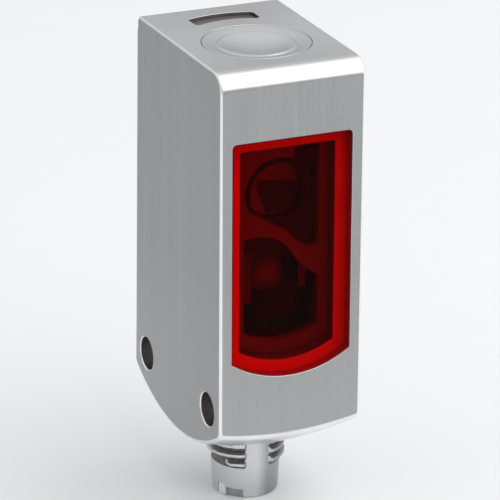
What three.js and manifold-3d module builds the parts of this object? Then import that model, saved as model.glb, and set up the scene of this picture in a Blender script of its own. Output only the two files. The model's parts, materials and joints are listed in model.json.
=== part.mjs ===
// Compact photoelectric proximity sensor in a stainless steel housing with an M8 male plug.
// Millimetres, +Z up, front window facing -Y. Heights are counted from the line through the
// two cross holes, and the finished model is shifted so that the origin lies on the +X side
// face, midway between the holes.
import * as THREE from 'three';
import { mergeVertices } from 'three/addons/utils/BufferGeometryUtils.js';
import Module from 'manifold-3d';

const wasm = await Module();
wasm.setup();

// ---------------------------------------------------------------- driving dimensions

const WIDTH = 15.25;
const DEPTH = 22.2;
const TOP = 35.6;
const PLUG_END = -12.8;

const HALF_WIDTH = WIDTH / 2;
const FRONT = -DEPTH / 2;

// Outer body: flat sides, rounded top edges, underside curved both ways.
const EDGE_CHAMFER = 0.25;
const REAR_EDGE_RADIUS = 1.3;
const TOP_FRONT_FILLET = 1.9;
const TOP_REAR_FILLET = 1.7;
const FOOT_FILLET = 1.2;
const FOOT_RADIUS = 20;
const FOOT_LOW = -5.3;
const FOOT_CROWN = 0.62;
const CROWN_FULL_AT = -1;
const CROWN_STARTS_AT = 2.5;

// Hollow inside the body.
const ROOM_HALF_WIDTH = 6.4;
const ROOM_FRONT = -8.1;
const ROOM_BACK = 9.9;
const ROOM_TOP = TOP - 3.2;
const ROOM_SHELF = 3.3;
const WELL_HALF_DEPTH = 4.9;
const WELL_FLOOR = -3;

// Cross holes for M3 screws.
const HOLE_RADIUS = 1.6;
const HOLE_SPACING = 15.8;
const SINK_RADIUS = 1.87;
const SINK_DEPTH = 0.27;

// Window opening: straight top and sides, arched bottom, pane on a narrow ledge.
const WINDOW_HALF_WIDTH = 6.37;
const WINDOW_TOP = TOP - 7.07;
const WINDOW_ARC_RADIUS = 11.14;
const WINDOW_ARC_CENTRE = TOP - 20.76;
const WINDOW_CORNER = 0.45;
const PANE_THICKNESS = 2;
const SEAL_THICKNESS = 0.15;
const LEDGE_WIDTH = 1.23;
const LEDGE_FRONT = FRONT + PANE_THICKNESS + SEAL_THICKNESS;

// Push button in the top, with its seal, clip and return spring.
const BUTTON_Y = -2.15;
const BUTTON_RADIUS = 5.2;
const BUTTON_TRAVEL = 0.3;
const BUTTON_UNDERSIDE = TOP - 1.5;
const POCKET_RADIUS = 5.5;
const POCKET_FLOOR = TOP - 2.2;
const STEM_RADIUS = 1.5;
const STEM_BORE_RADIUS = 1.56;
const STEM_END = TOP - 4.95;
const BOSS_RADIUS = 3;
const BOSS_END = TOP - 4;
const STEM_SEAL_MIDDLE = TOP - 3.1;
const STEM_SEAL_RADIUS = 0.23;
const CLIP_TOP = BOSS_END - 0.02;
const CLIP_THICKNESS = 0.3;

// Indicator slot: an arched band concentric with the button.
const SLOT_INNER_RADIUS = 7.9;
const SLOT_OUTER_RADIUS = 9.7;
const SLOT_HALF_LENGTH = 3.5;
const SLOT_GLASS_DROP = 0.2;

// Optics block and its cover plate with the S-shaped divider.
const MASK_FRONT = -7.78;
const MASK_THICKNESS = 0.8;
const CARRIER_FRONT = MASK_FRONT + MASK_THICKNESS;
const CARRIER_BACK = 1.1;
const CARRIER_INSET = 1.4;
const OPENING_HALF_WIDTH = 4;
const OPENING_TOP = TOP - 9.75;
const OPENING_ARC_RADIUS = 8;
const EMITTER_HEIGHT = TOP - 13.85;
const EMITTER_LENS_RADIUS = 3;
const EMITTER_LENS_SAG = 1;
const EMITTER_RIM = -6;
const EMITTER_LENS_BACK = -4.6;
const RECEIVER_HEIGHT = TOP - 24.6;
const RECEIVER_HALF_WIDTH = 4;
const RECEIVER_HALF_HEIGHT = 4;
const RECEIVER_FRONT = -6.9;
const RECEIVER_BACK = -3.9;
const RECEIVER_BULGE_RADIUS = 9;

// Circuit boards.
const BOARD_THICKNESS = 0.8;
const BOARD_HALF_WIDTH = 4.9;
const OPTICS_BOARD_FRONT = CARRIER_BACK + 0.05;
const OPTICS_BOARD_BACK = OPTICS_BOARD_FRONT + BOARD_THICKNESS;
const MAIN_BOARD_FRONT = 6.2;
const MAIN_BOARD_BACK = MAIN_BOARD_FRONT + BOARD_THICKNESS;
const TOP_BOARD_TOP = TOP - 7.1;
const TOP_BOARD_BOTTOM = TOP_BOARD_TOP - BOARD_THICKNESS;
const CHIP_GAP = 0.03;

// M8 plug under the body.
const PLUG_RADIUS = 4;
const THREAD_ROOT = 3.42;
const THREAD_PITCH = 1;
const THREAD_LOW = -8.65;
const THREAD_TURNS = 2.1;
const THREAD_GAP_MIDDLE = -7.5;
const THREAD_GAP_HALF = 21.5;
const COLLAR_END = -6.75;
const BARREL_TOP_RADIUS = 3.53;
const BARREL_END_RADIUS = 3.33;
const BARREL_TOP = -9;
const SOCKET_RADIUS = 2.75;
const SOCKET_FLOOR = -8.1;
const SHELL_BORE_RADIUS = 3.2;
const SHELL_SHOULDER = -6;
const FLANGE_RADIUS = 4.6;
const FLANGE_THICKNESS = 0.95;
const NOTCH_DIRECTION = -46;
const NOTCH_WIDTH = 1.8;
const NOTCH_HEIGHT = 1;
const NOTCH_DEPTH = 0.3;
const PIN_RADIUS = 0.5;
const PIN_TOP = -0.6;
const PIN_END = PLUG_END + 0.9;
const WIRE_RADIUS = 0.32;

const FINE = 36;
const ROUND = 24;
const SMALL = 12;

const STEEL = { color: 0xb6b7b9, roughness: 0.38, metalness: 1 };
const DARK_STEEL = { color: 0x8f9094, roughness: 0.35, metalness: 1 };
const GOLD = { color: 0xd9b36a, roughness: 0.25, metalness: 1 };
const RED_PANE = { color: 0xc00808, roughness: 0.08, metalness: 0 };
const SMOKED_PANE = { color: 0x4b4648, roughness: 0.25, metalness: 0 };
const CLEAR_LENS = { color: 0xd8dcde, roughness: 0.06, metalness: 0 };
const BLACK_PLASTIC = { color: 0x171718, roughness: 0.55, metalness: 0 };
const GREY_PLASTIC = { color: 0x8c8a88, roughness: 0.5, metalness: 0 };
const BLACK_RUBBER = { color: 0x1b1b1c, roughness: 0.8, metalness: 0 };
const PALE_SEAL = { color: 0xdedbd6, roughness: 0.6, metalness: 0 };
const GREEN_BOARD = { color: 0x1d5a37, roughness: 0.5, metalness: 0 };
const CHIP_BLACK = { color: 0x202124, roughness: 0.6, metalness: 0 };
const CERAMIC = { color: 0xb49a74, roughness: 0.6, metalness: 0 };
const AMBER_FILM = { color: 0xb5762a, roughness: 0.4, metalness: 0 };

// ---------------------------------------------------------------- solid helpers

const degrees = (angle) => THREE.MathUtils.degToRad(angle);

function signedVolume(position, index) {
  const corner = [new THREE.Vector3(), new THREE.Vector3(), new THREE.Vector3()];
  let volume = 0;
  for (let i = 0; i < index.length; i += 3) {
    corner.forEach((point, k) => point.fromArray(position, 3 * index[i + k]));
    volume += corner[0].dot(corner[1].cross(corner[2])) / 6;
  }
  return volume;
}

// A closed surface with shared corners and its faces turned outwards, as a solid.
function solidOf(geometry) {
  const bare = geometry.index ? geometry.toNonIndexed() : geometry.clone();
  bare.deleteAttribute('normal');
  bare.deleteAttribute('uv');
  const merged = mergeVertices(bare, 1e-4);
  const position = merged.attributes.position.array;
  const index = [];
  for (let i = 0; i < merged.index.count; i += 3) {
    const [a, b, c] = merged.index.array.slice(i, i + 3);
    if (a !== b && b !== c && c !== a) {
      index.push(a, b, c);
    }
  }
  if (signedVolume(position, index) < 0) {
    index.reverse();
  }
  const mesh = new wasm.Mesh({
    numProp: 3,
    vertProperties: position,
    triVerts: Uint32Array.from(index),
  });
  return new wasm.Manifold(mesh);
}

function geometryOf(solid) {
  const mesh = solid.getMesh();
  const geometry = new THREE.BufferGeometry();
  geometry.setAttribute('position', new THREE.BufferAttribute(mesh.vertProperties, 3));
  geometry.setIndex(new THREE.BufferAttribute(mesh.triVerts, 1));
  return geometry;
}

const cut = (solid, ...tools) => tools.reduce((rest, tool) => rest.subtract(tool), solid);
const join = (solid, ...others) => others.reduce((sum, other) => sum.add(other), solid);

// Plates: an outline in the plane across an axis, made thick along that axis.
const PLATE_BASES = {
  x: [new THREE.Vector3(0, 1, 0), new THREE.Vector3(0, 0, 1), new THREE.Vector3(1, 0, 0)],
  y: [new THREE.Vector3(1, 0, 0), new THREE.Vector3(0, 0, 1), new THREE.Vector3(0, -1, 0)],
  z: [new THREE.Vector3(1, 0, 0), new THREE.Vector3(0, 1, 0), new THREE.Vector3(0, 0, 1)],
};

function plateGeometry(axis, outline, from, to, options = {}) {
  const bevel = options.bevel ?? 0;
  const geometry = new THREE.ExtrudeGeometry(outline, {
    depth: to - from - 2 * bevel,
    steps: options.steps ?? 1,
    curveSegments: options.segments ?? 6,
    bevelEnabled: bevel > 0,
    bevelThickness: bevel,
    bevelSize: bevel,
    bevelOffset: -bevel,
    bevelSegments: 1,
  });
  geometry.translate(0, 0, (axis === 'y' ? -to : from) + bevel);
  geometry.applyMatrix4(new THREE.Matrix4().makeBasis(...PLATE_BASES[axis]));
  return geometry;
}

const plate = (...settings) => solidOf(plateGeometry(...settings));

function rectangle(x0, x1, y0, y1) {
  const outline = new THREE.Shape();
  outline.moveTo(x0, y0);
  outline.lineTo(x1, y0);
  outline.lineTo(x1, y1);
  outline.lineTo(x0, y1);
  outline.closePath();
  return outline;
}

function roundedRectangle(x0, x1, y0, y1, radius) {
  const outline = new THREE.Shape();
  outline.absarc(x1 - radius, y0 + radius, radius, -Math.PI / 2, 0, false);
  outline.absarc(x1 - radius, y1 - radius, radius, 0, Math.PI / 2, false);
  outline.absarc(x0 + radius, y1 - radius, radius, Math.PI / 2, Math.PI, false);
  outline.absarc(x0 + radius, y0 + radius, radius, Math.PI, 1.5 * Math.PI, false);
  outline.closePath();
  return outline;
}

const block = (x0, x1, y0, y1, z0, z1) => plate('z', rectangle(x0, x1, y0, y1), z0, z1);

// Turned pieces: a profile of [radius, distance along the axis] spun about that axis.
function turned(axis, profile, centre, segments = ROUND) {
  const points = profile.map(([radius, along]) => new THREE.Vector2(radius, along));
  const geometry = new THREE.LatheGeometry(points, segments);
  if (axis === 'z') {
    geometry.rotateX(Math.PI / 2);
    geometry.translate(centre[0], centre[1], 0);
  } else if (axis === 'y') {
    geometry.translate(centre[0], 0, centre[1]);
  } else {
    geometry.rotateZ(-Math.PI / 2);
    geometry.translate(0, centre[0], centre[1]);
  }
  return solidOf(geometry);
}

function rod(axis, radius, from, to, centre, segments = ROUND) {
  return turned(axis, [[0, from], [radius, from], [radius, to], [0, to]], centre, segments);
}

function ring(axis, inner, outer, from, to, centre, segments = ROUND) {
  const profile = [[inner, from], [outer, from], [outer, to], [inner, to], [inner, from]];
  return turned(axis, profile, centre, segments);
}

function torus(radius, tube, height, centre, segments = ROUND) {
  const geometry = new THREE.TorusGeometry(radius, tube, 6, segments);
  geometry.translate(centre[0], centre[1], height);
  return solidOf(geometry);
}

// A straight bar rolled into a helix about the vertical axis: section x is the distance
// from the axis and section y the height. reach(t) scales how far it stands out.
function helix(section, options) {
  const { from, to, pitch, base, steps, centre, reach = () => 1 } = options;
  const geometry = new THREE.ExtrudeGeometry(section, {
    depth: 1,
    steps,
    curveSegments: 2,
    bevelEnabled: false,
  });
  const position = geometry.attributes.position;
  const start = options.start ?? from;
  for (let i = 0; i < position.count; i += 1) {
    const t = position.getZ(i);
    const angle = degrees(from + (to - from) * t);
    const lift = (pitch * (from + (to - from) * t - start)) / 360;
    const outline = position.getX(i);
    const radius = outline < base ? outline : base + (outline - base) * reach(t);
    position.setXYZ(
      i,
      centre[0] + radius * Math.sin(angle),
      centre[1] - radius * Math.cos(angle),
      position.getY(i) + lift,
    );
  }
  return solidOf(geometry);
}

function tubeAlong(points, radius, steps, sides = 8) {
  const section = new THREE.Shape();
  section.absarc(0, 0, radius, 0, 2 * Math.PI, false);
  const path = new THREE.CatmullRomCurve3(points.map((point) => new THREE.Vector3(...point)));
  const geometry = new THREE.ExtrudeGeometry(section, {
    steps,
    extrudePath: path,
    curveSegments: sides,
    bevelEnabled: false,
  });
  return solidOf(geometry);
}

// ---------------------------------------------------------------- shared outlines

// The window outline, drawn in by inset on every side.
function windowOutline(inset, corner = WINDOW_CORNER) {
  const half = WINDOW_HALF_WIDTH - inset;
  const top = WINDOW_TOP - inset;
  const radius = WINDOW_ARC_RADIUS - inset;
  const spread = Math.asin(half / radius);
  const outline = new THREE.Shape();
  outline.absarc(0, WINDOW_ARC_CENTRE, radius, -Math.PI / 2 - spread, spread - Math.PI / 2, false);
  outline.absarc(half - corner, top - corner, corner, 0, Math.PI / 2, false);
  outline.absarc(corner - half, top - corner, corner, Math.PI / 2, Math.PI, false);
  outline.closePath();
  return outline;
}

// The indicator slot outline, drawn in by inset on every side.
function slotOutline(inset) {
  const outer = SLOT_OUTER_RADIUS - inset;
  const inner = SLOT_INNER_RADIUS + inset;
  const half = SLOT_HALF_LENGTH - inset;
  const outerAngle = Math.acos(half / outer);
  const innerAngle = Math.acos(half / inner);
  const outline = new THREE.Shape();
  outline.absarc(0, BUTTON_Y, outer, outerAngle, Math.PI - outerAngle, false);
  outline.absarc(0, BUTTON_Y, inner, Math.PI - innerAngle, innerAngle, true);
  outline.closePath();
  return outline;
}

// ---------------------------------------------------------------- housing

function bodySideOutline() {
  const arcCentre = FOOT_LOW + FOOT_RADIUS;
  const footY = -FRONT - FOOT_FILLET;
  const footZ = arcCentre - Math.sqrt((FOOT_RADIUS - FOOT_FILLET) ** 2 - footY ** 2);
  const tilt = Math.atan2(footY, arcCentre - footZ);
  const down = -Math.PI / 2;
  const rearY = -FRONT - TOP_REAR_FILLET;
  const rearZ = TOP - TOP_REAR_FILLET;
  const frontY = FRONT + TOP_FRONT_FILLET;
  const frontZ = TOP - TOP_FRONT_FILLET;
  const outline = new THREE.Shape();
  outline.absarc(0, arcCentre, FOOT_RADIUS, down - tilt, down + tilt, false);
  outline.absarc(footY, footZ, FOOT_FILLET, down + tilt, 0, false);
  outline.absarc(rearY, rearZ, TOP_REAR_FILLET, 0, Math.PI / 2, false);
  outline.absarc(frontY, frontZ, TOP_FRONT_FILLET, Math.PI / 2, Math.PI, false);
  outline.absarc(-footY, footZ, FOOT_FILLET, Math.PI, 2 * Math.PI + down - tilt, false);
  outline.closePath();
  return outline;
}

// The underside also bows downwards across the width, most at the middle and the lowest parts.
function crownUnderside(geometry) {
  const position = geometry.attributes.position;
  for (let i = 0; i < position.count; i += 1) {
    const x = position.getX(i);
    const z = position.getZ(i);
    const bow = FOOT_CROWN * (1 - (x / HALF_WIDTH) ** 2);
    const share = Math.max((CROWN_STARTS_AT - z) / (CROWN_STARTS_AT - CROWN_FULL_AT), 0);
    position.setZ(i, z - bow * share);
  }
  return geometry;
}

// What the rounded vertical edges at the back leave out, on the side given by its sign.
function rearCorner(side) {
  const beyond = 1;
  const inX = side * (HALF_WIDTH - REAR_EDGE_RADIUS);
  const inY = -FRONT - REAR_EDGE_RADIUS;
  const corner = new THREE.Shape();
  const start = side > 0 ? 0 : Math.PI;
  corner.absarc(inX, inY, REAR_EDGE_RADIUS, start, Math.PI / 2, side < 0);
  corner.lineTo(inX, -FRONT + beyond);
  corner.lineTo(side * (HALF_WIDTH + beyond), -FRONT + beyond);
  corner.lineTo(side * (HALF_WIDTH + beyond), inY);
  corner.closePath();
  return plate('z', corner, FOOT_LOW - beyond, TOP + beyond, { segments: 5 });
}

function housing() {
  const outer = plateGeometry('x', bodySideOutline(), -HALF_WIDTH, HALF_WIDTH, {
    bevel: EDGE_CHAMFER,
    steps: 4,
    segments: 8,
  });
  const body = solidOf(crownUnderside(outer));
  const room = plate(
    'x',
    roundedRectangle(ROOM_FRONT, ROOM_BACK, ROOM_SHELF, ROOM_TOP, 0.8),
    -ROOM_HALF_WIDTH,
    ROOM_HALF_WIDTH,
    { segments: 3 },
  );
  const well = plate(
    'x',
    roundedRectangle(-WELL_HALF_DEPTH, WELL_HALF_DEPTH, WELL_FLOOR, ROOM_SHELF + 2, 0.5),
    -ROOM_HALF_WIDTH,
    ROOM_HALF_WIDTH,
    { segments: 3 },
  );
  const stemBoss = rod('z', BOSS_RADIUS, BOSS_END, ROOM_TOP + 0.5, [0, BUTTON_Y]);
  const hollow = cut(join(room, well), stemBoss);
  const tools = [
    rearCorner(-1),
    rearCorner(1),
    hollow,
    plate('y', windowOutline(0), FRONT - 1, LEDGE_FRONT),
    plate('y', windowOutline(LEDGE_WIDTH, 0.25), FRONT - 1, ROOM_FRONT + 1),
    rod('z', POCKET_RADIUS, POCKET_FLOOR, TOP + 1, [0, BUTTON_Y], FINE),
    rod('z', STEM_BORE_RADIUS, BOSS_END - 1, TOP + 1, [0, BUTTON_Y]),
    plate('z', slotOutline(0), ROOM_TOP - 1, TOP + 1),
    rod('z', PLUG_RADIUS + 0.05, FOOT_LOW - 2, WELL_FLOOR + 1, [0, 0], FINE),
  ];
  for (const y of [-HOLE_SPACING / 2, HOLE_SPACING / 2]) {
    tools.push(rod('x', HOLE_RADIUS, -HALF_WIDTH - 1, HALF_WIDTH + 1, [y, 0]));
    for (const side of [-1, 1]) {
      const face = side * HALF_WIDTH;
      const cone = [
        [0, face - side * SINK_DEPTH],
        [HOLE_RADIUS, face - side * SINK_DEPTH],
        [SINK_RADIUS, face],
        [SINK_RADIUS, face + side],
        [0, face + side],
      ];
      tools.push(turned('x', cone, [y, 0]));
    }
  }
  return cut(body, ...tools);
}

// ---------------------------------------------------------------- window and optics

function frontWindow() {
  return plate('y', windowOutline(0.06), FRONT, FRONT + PANE_THICKNESS, { bevel: 0.08 });
}

function windowSeal() {
  const from = FRONT + PANE_THICKNESS + 0.01;
  const to = LEDGE_FRONT - 0.01;
  const frame = plate('y', windowOutline(0.1), from, to);
  return cut(frame, plate('y', windowOutline(LEDGE_WIDTH - 0.1, 0.25), from - 1, to + 1));
}

// Lower edge of the emitter opening and upper edge of the receiver opening.
const DIVIDER_UPPER_EDGE = [
  [-4, -14.7],
  [-1.3, -16.55],
  [0.4, -17.45],
  [1.65, -18.75],
  [2.9, -19.45],
  [4, -19.4],
];
const DIVIDER_LOWER_EDGE = [
  [-4, -17.95],
  [-1.8, -17.95],
  [0.15, -18.85],
  [2, -21.3],
  [4, -22.7],
];

const belowTop = (edge) => edge.map(([x, drop]) => new THREE.Vector2(x, TOP + drop));

function apertureMask() {
  const upperEdge = belowTop(DIVIDER_UPPER_EDGE);
  const emitterOpening = new THREE.Shape();
  emitterOpening.moveTo(OPENING_HALF_WIDTH, OPENING_TOP);
  emitterOpening.lineTo(-OPENING_HALF_WIDTH, OPENING_TOP);
  emitterOpening.lineTo(upperEdge[0].x, upperEdge[0].y);
  emitterOpening.splineThru(upperEdge.slice(1));
  emitterOpening.closePath();

  const lowerEdge = belowTop(DIVIDER_LOWER_EDGE).reverse();
  const spread = Math.asin(OPENING_HALF_WIDTH / OPENING_ARC_RADIUS);
  const receiverOpening = new THREE.Shape();
  receiverOpening.absarc(
    0,
    WINDOW_ARC_CENTRE,
    OPENING_ARC_RADIUS,
    -Math.PI / 2 - spread,
    spread - Math.PI / 2,
    false,
  );
  receiverOpening.lineTo(lowerEdge[0].x, lowerEdge[0].y);
  receiverOpening.splineThru(lowerEdge.slice(1));
  receiverOpening.closePath();

  const back = CARRIER_FRONT - 0.02;
  const cover = plate('y', windowOutline(CARRIER_INSET, 0.3), MASK_FRONT, back);
  const through = [MASK_FRONT - 1, back + 1];
  return cut(
    cover,
    plate('y', emitterOpening, ...through, { segments: 6 }),
    plate('y', receiverOpening, ...through, { segments: 6 }),
  );
}

const SCREW_PLACES = { upper: [3.7, TOP - 10.1], lower: [-3.3, TOP - 19] };
const SCREW_RADIUS = 0.7;
const SCREW_LENGTH = 4.5;

function opticsCarrier() {
  const lensSeat = EMITTER_LENS_RADIUS + 0.05;
  const receiverSeat = RECEIVER_HALF_WIDTH + 0.05;
  const receiverTunnel = 3.2;
  const tools = [
    rod('y', lensSeat, CARRIER_FRONT - 1, EMITTER_LENS_BACK, [0, EMITTER_HEIGHT]),
    turned(
      'y',
      [[0, EMITTER_LENS_BACK - 1], [2.6, EMITTER_LENS_BACK - 1], [1.5, CARRIER_BACK + 1],
        [0, CARRIER_BACK + 1]],
      [0, EMITTER_HEIGHT],
    ),
    block(
      -receiverSeat,
      receiverSeat,
      CARRIER_FRONT - 1,
      RECEIVER_BACK,
      RECEIVER_HEIGHT - receiverSeat,
      RECEIVER_HEIGHT + receiverSeat,
    ),
    block(
      -receiverTunnel,
      receiverTunnel,
      RECEIVER_BACK - 1,
      CARRIER_BACK + 1,
      RECEIVER_HEIGHT - receiverTunnel,
      RECEIVER_HEIGHT + receiverTunnel,
    ),
  ];
  for (const place of Object.values(SCREW_PLACES)) {
    const depth = CARRIER_BACK - SCREW_LENGTH + 1;
    tools.push(rod('y', SCREW_RADIUS + 0.03, depth, CARRIER_BACK + 1, place, SMALL));
  }
  const body = plate('y', windowOutline(CARRIER_INSET, 0.3), CARRIER_FRONT, CARRIER_BACK);
  return cut(body, ...tools);
}

function emitterLens() {
  const domeRadius = (EMITTER_LENS_RADIUS ** 2 + EMITTER_LENS_SAG ** 2) / (2 * EMITTER_LENS_SAG);
  const half = Math.asin(EMITTER_LENS_RADIUS / domeRadius);
  const bands = 5;
  const profile = [];
  for (let i = 0; i <= bands; i += 1) {
    const angle = (half * i) / bands;
    const along = EMITTER_RIM - EMITTER_LENS_SAG + domeRadius * (1 - Math.cos(angle));
    profile.push([domeRadius * Math.sin(angle), along]);
  }
  profile.push([EMITTER_LENS_RADIUS, EMITTER_LENS_BACK - 0.03], [0, EMITTER_LENS_BACK - 0.03]);
  return turned('y', profile, [0, EMITTER_HEIGHT]);
}

function receiverLens() {
  const outline = roundedRectangle(
    -RECEIVER_HALF_WIDTH,
    RECEIVER_HALF_WIDTH,
    RECEIVER_HEIGHT - RECEIVER_HALF_HEIGHT,
    RECEIVER_HEIGHT + RECEIVER_HALF_HEIGHT,
    0.4,
  );
  const body = plate('y', outline, RECEIVER_FRONT, RECEIVER_BACK - 0.03, { segments: 3 });
  const bulge = new THREE.SphereGeometry(RECEIVER_BULGE_RADIUS, ROUND, SMALL);
  bulge.translate(0, RECEIVER_FRONT + RECEIVER_BULGE_RADIUS, RECEIVER_HEIGHT);
  return body.intersect(solidOf(bulge));
}

const DIODE_BACK = OPTICS_BOARD_FRONT - CHIP_GAP;

function emitterLed() {
  const base = block(-0.8, 0.8, DIODE_BACK - 0.5, DIODE_BACK, EMITTER_HEIGHT - 1, EMITTER_HEIGHT + 1);
  const dome = [[0, DIODE_BACK - 1.2], [0.4, DIODE_BACK - 1.1], [0.65, DIODE_BACK - 0.8],
    [0.7, DIODE_BACK - 0.3], [0, DIODE_BACK - 0.3]];
  return join(base, turned('y', dome, [0, EMITTER_HEIGHT], SMALL));
}

function receiverDiode() {
  const half = 1.9;
  const outline = roundedRectangle(-half, half, RECEIVER_HEIGHT - half, RECEIVER_HEIGHT + half, 0.2);
  return plate('y', outline, DIODE_BACK - 0.9, DIODE_BACK, { bevel: 0.1, segments: 2 });
}

// A folded metal can around the receiver chip, open over the chip and towards the board.
function receiverShield() {
  const outer = 2.6;
  const back = DIODE_BACK;
  const front = back - 1.5;
  const z = RECEIVER_HEIGHT;
  const can = block(-outer, outer, front, back, z - outer, z + outer);
  const inside = outer - 0.2;
  const chamber = block(-inside, inside, front + 0.2, back + 1, z - inside, z + inside);
  const sight = block(-1.5, 1.5, front - 1, front + 1, z - 1.5, z + 1.5);
  return cut(can, chamber, sight);
}

// ---------------------------------------------------------------- boards and chips

function opticsBoard() {
  const outline = roundedRectangle(-BOARD_HALF_WIDTH, BOARD_HALF_WIDTH, TOP - 29, TOP - 8.8, 0.4);
  const board = plate('y', outline, OPTICS_BOARD_FRONT, OPTICS_BOARD_BACK, { segments: 3 });
  const holes = Object.values(SCREW_PLACES).map((place) =>
    rod('y', SCREW_RADIUS + 0.1, OPTICS_BOARD_FRONT - 1, OPTICS_BOARD_BACK + 1, place, SMALL),
  );
  return cut(board, ...holes);
}

function boardScrew(place) {
  const head = OPTICS_BOARD_BACK + 0.02;
  const tip = head - SCREW_LENGTH + 0.2;
  const profile = [[0, tip], [0.35, tip], [SCREW_RADIUS, tip + 0.5], [SCREW_RADIUS, head],
    [1.25, head], [1.25, head + 0.45], [1, head + 0.7], [0, head + 0.7]];
  const slot = block(
    place[0] - 2,
    place[0] + 2,
    head + 0.4,
    head + 1,
    place[1] - 0.15,
    place[1] + 0.15,
  );
  return cut(turned('y', profile, place, SMALL), slot);
}

function mainBoard() {
  const outline = roundedRectangle(-BOARD_HALF_WIDTH, BOARD_HALF_WIDTH, TOP - 31.6, TOP - 8.6, 0.4);
  return plate('y', outline, MAIN_BOARD_FRONT, MAIN_BOARD_BACK, { segments: 3 });
}

// Chips stand on the front or the back face of the main board.
function chip(side, x, drop, width, height, thickness) {
  const z = TOP - drop;
  const outline = rectangle(x - width / 2, x + width / 2, z - height / 2, z + height / 2);
  const face = side === 'front' ? MAIN_BOARD_FRONT - CHIP_GAP : MAIN_BOARD_BACK + CHIP_GAP;
  const from = side === 'front' ? face - thickness : face;
  return plate('y', outline, from, from + thickness, { bevel: 0.06 });
}

const MAIN_BOARD_CHIPS = [
  ['microcontroller', 'back', 0, 14, 4, 4, 0.9, CHIP_BLACK],
  ['signal_amplifier', 'front', 0.6, 15.4, 4.4, 5, 1, CHIP_BLACK],
  ['output_driver', 'back', -1.2, 22.4, 3, 3, 0.9, CHIP_BLACK],
  ['voltage_regulator', 'back', 2.4, 22.4, 1.6, 2.9, 1.1, CHIP_BLACK],
  ['storage_inductor', 'front', -2.6, 21.6, 3, 3, 1.4, CHIP_BLACK],
  ['input_capacitor', 'front', 2.6, 21.6, 1.6, 3.2, 1.5, CERAMIC],
  ['filter_capacitor', 'back', 3.4, 18.2, 1.25, 2, 1, CERAMIC],
  ['protection_diode', 'back', 0, 27, 2.6, 1.6, 1, CHIP_BLACK],
];

function topBoard() {
  const outline = roundedRectangle(-BOARD_HALF_WIDTH, BOARD_HALF_WIDTH, -6.4, 8.9, 0.5);
  return plate('z', outline, TOP_BOARD_BOTTOM, TOP_BOARD_TOP, { segments: 3 });
}

function topBoardHeader() {
  const top = TOP_BOARD_BOTTOM - CHIP_GAP;
  const back = MAIN_BOARD_FRONT - CHIP_GAP;
  return plate('x', rectangle(back - 1.2, back, top - 2.2, top), -3, 3, { bevel: 0.08 });
}

// A thin film bent like a U joins the two upright boards.
function boardLink() {
  const near = OPTICS_BOARD_BACK + 0.05;
  const far = MAIN_BOARD_FRONT - 0.05;
  const bend = (far - near) / 2;
  const middle = (near + far) / 2;
  const end = TOP - 23.9;
  const turn = TOP - 26;
  const film = 0.16;
  const outline = new THREE.Shape();
  outline.moveTo(near, end);
  outline.absarc(middle, turn, bend, Math.PI, 2 * Math.PI, false);
  outline.lineTo(far, end);
  outline.lineTo(far - film, end);
  outline.absarc(middle, turn, bend - film, 2 * Math.PI, Math.PI, true);
  outline.lineTo(near + film, end);
  outline.closePath();
  return plate('x', outline, -3, 3, { segments: 10 });
}

// ---------------------------------------------------------------- button and indicators

const AT_BUTTON = [0, BUTTON_Y];

function buttonCap() {
  const grooveRadius = STEM_RADIUS - 0.45;
  const sealHalf = STEM_SEAL_RADIUS + 0.05;
  const clipBottom = CLIP_TOP - CLIP_THICKNESS - 0.02;
  const profile = [
    [0, STEM_END],
    [STEM_RADIUS, STEM_END],
    [STEM_RADIUS, clipBottom],
    [grooveRadius, clipBottom],
    [grooveRadius, CLIP_TOP + 0.02],
    [STEM_RADIUS, CLIP_TOP + 0.02],
    [STEM_RADIUS, STEM_SEAL_MIDDLE - sealHalf],
    [grooveRadius, STEM_SEAL_MIDDLE - sealHalf],
    [grooveRadius, STEM_SEAL_MIDDLE + sealHalf],
    [STEM_RADIUS, STEM_SEAL_MIDDLE + sealHalf],
    [STEM_RADIUS, BUTTON_UNDERSIDE],
    [BUTTON_RADIUS - 0.15, BUTTON_UNDERSIDE],
    [BUTTON_RADIUS, BUTTON_UNDERSIDE + 0.15],
    [BUTTON_RADIUS, TOP - 0.25],
    [BUTTON_RADIUS - 0.08, TOP - 0.08],
    [BUTTON_RADIUS - 0.25, TOP],
    [4.85, TOP - 0.02],
    [4.3, TOP - 0.26],
    [3.75, TOP - 0.42],
    [3.4, TOP - 0.46],
    [1.8, TOP - 0.55],
    [0, TOP - 0.58],
  ];
  return turned('z', profile, AT_BUTTON);
}

function buttonClip() {
  const clip = ring(
    'z',
    STEM_RADIUS - 0.4,
    2.5,
    CLIP_TOP - CLIP_THICKNESS,
    CLIP_TOP,
    AT_BUTTON,
    SMALL,
  );
  const mouth = block(-0.9, 0.9, BUTTON_Y, BUTTON_Y + 4, CLIP_TOP - 1, CLIP_TOP + 1);
  return cut(clip, mouth);
}

// Wave spring between the pocket floor and the underside of the button.
function buttonSpring() {
  const inner = 2.1;
  const outer = 3.3;
  const thickness = 0.16;
  const waves = 3;
  const clearance = 0.02;
  const low = POCKET_FLOOR + clearance;
  const high = BUTTON_UNDERSIDE - clearance;
  const height = (high - low - thickness) / 2;
  const middle = (low + high) / 2;
  const profile = [[inner, middle - thickness / 2], [outer, middle - thickness / 2],
    [outer, middle + thickness / 2], [inner, middle + thickness / 2]];
  const points = [...profile, profile[0]].map(([radius, along]) => new THREE.Vector2(radius, along));
  const geometry = new THREE.LatheGeometry(points, FINE);
  geometry.rotateX(Math.PI / 2);
  const { position } = geometry.attributes;
  for (let i = 0; i < position.count; i += 1) {
    const around = Math.atan2(position.getY(i), position.getX(i));
    position.setZ(i, position.getZ(i) + height * Math.cos(waves * around));
  }
  geometry.translate(...AT_BUTTON, 0);
  return solidOf(geometry);
}

const SWITCH_TOP = STEM_END - 0.6;
const PLUNGER_RADIUS = 0.9;

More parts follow.
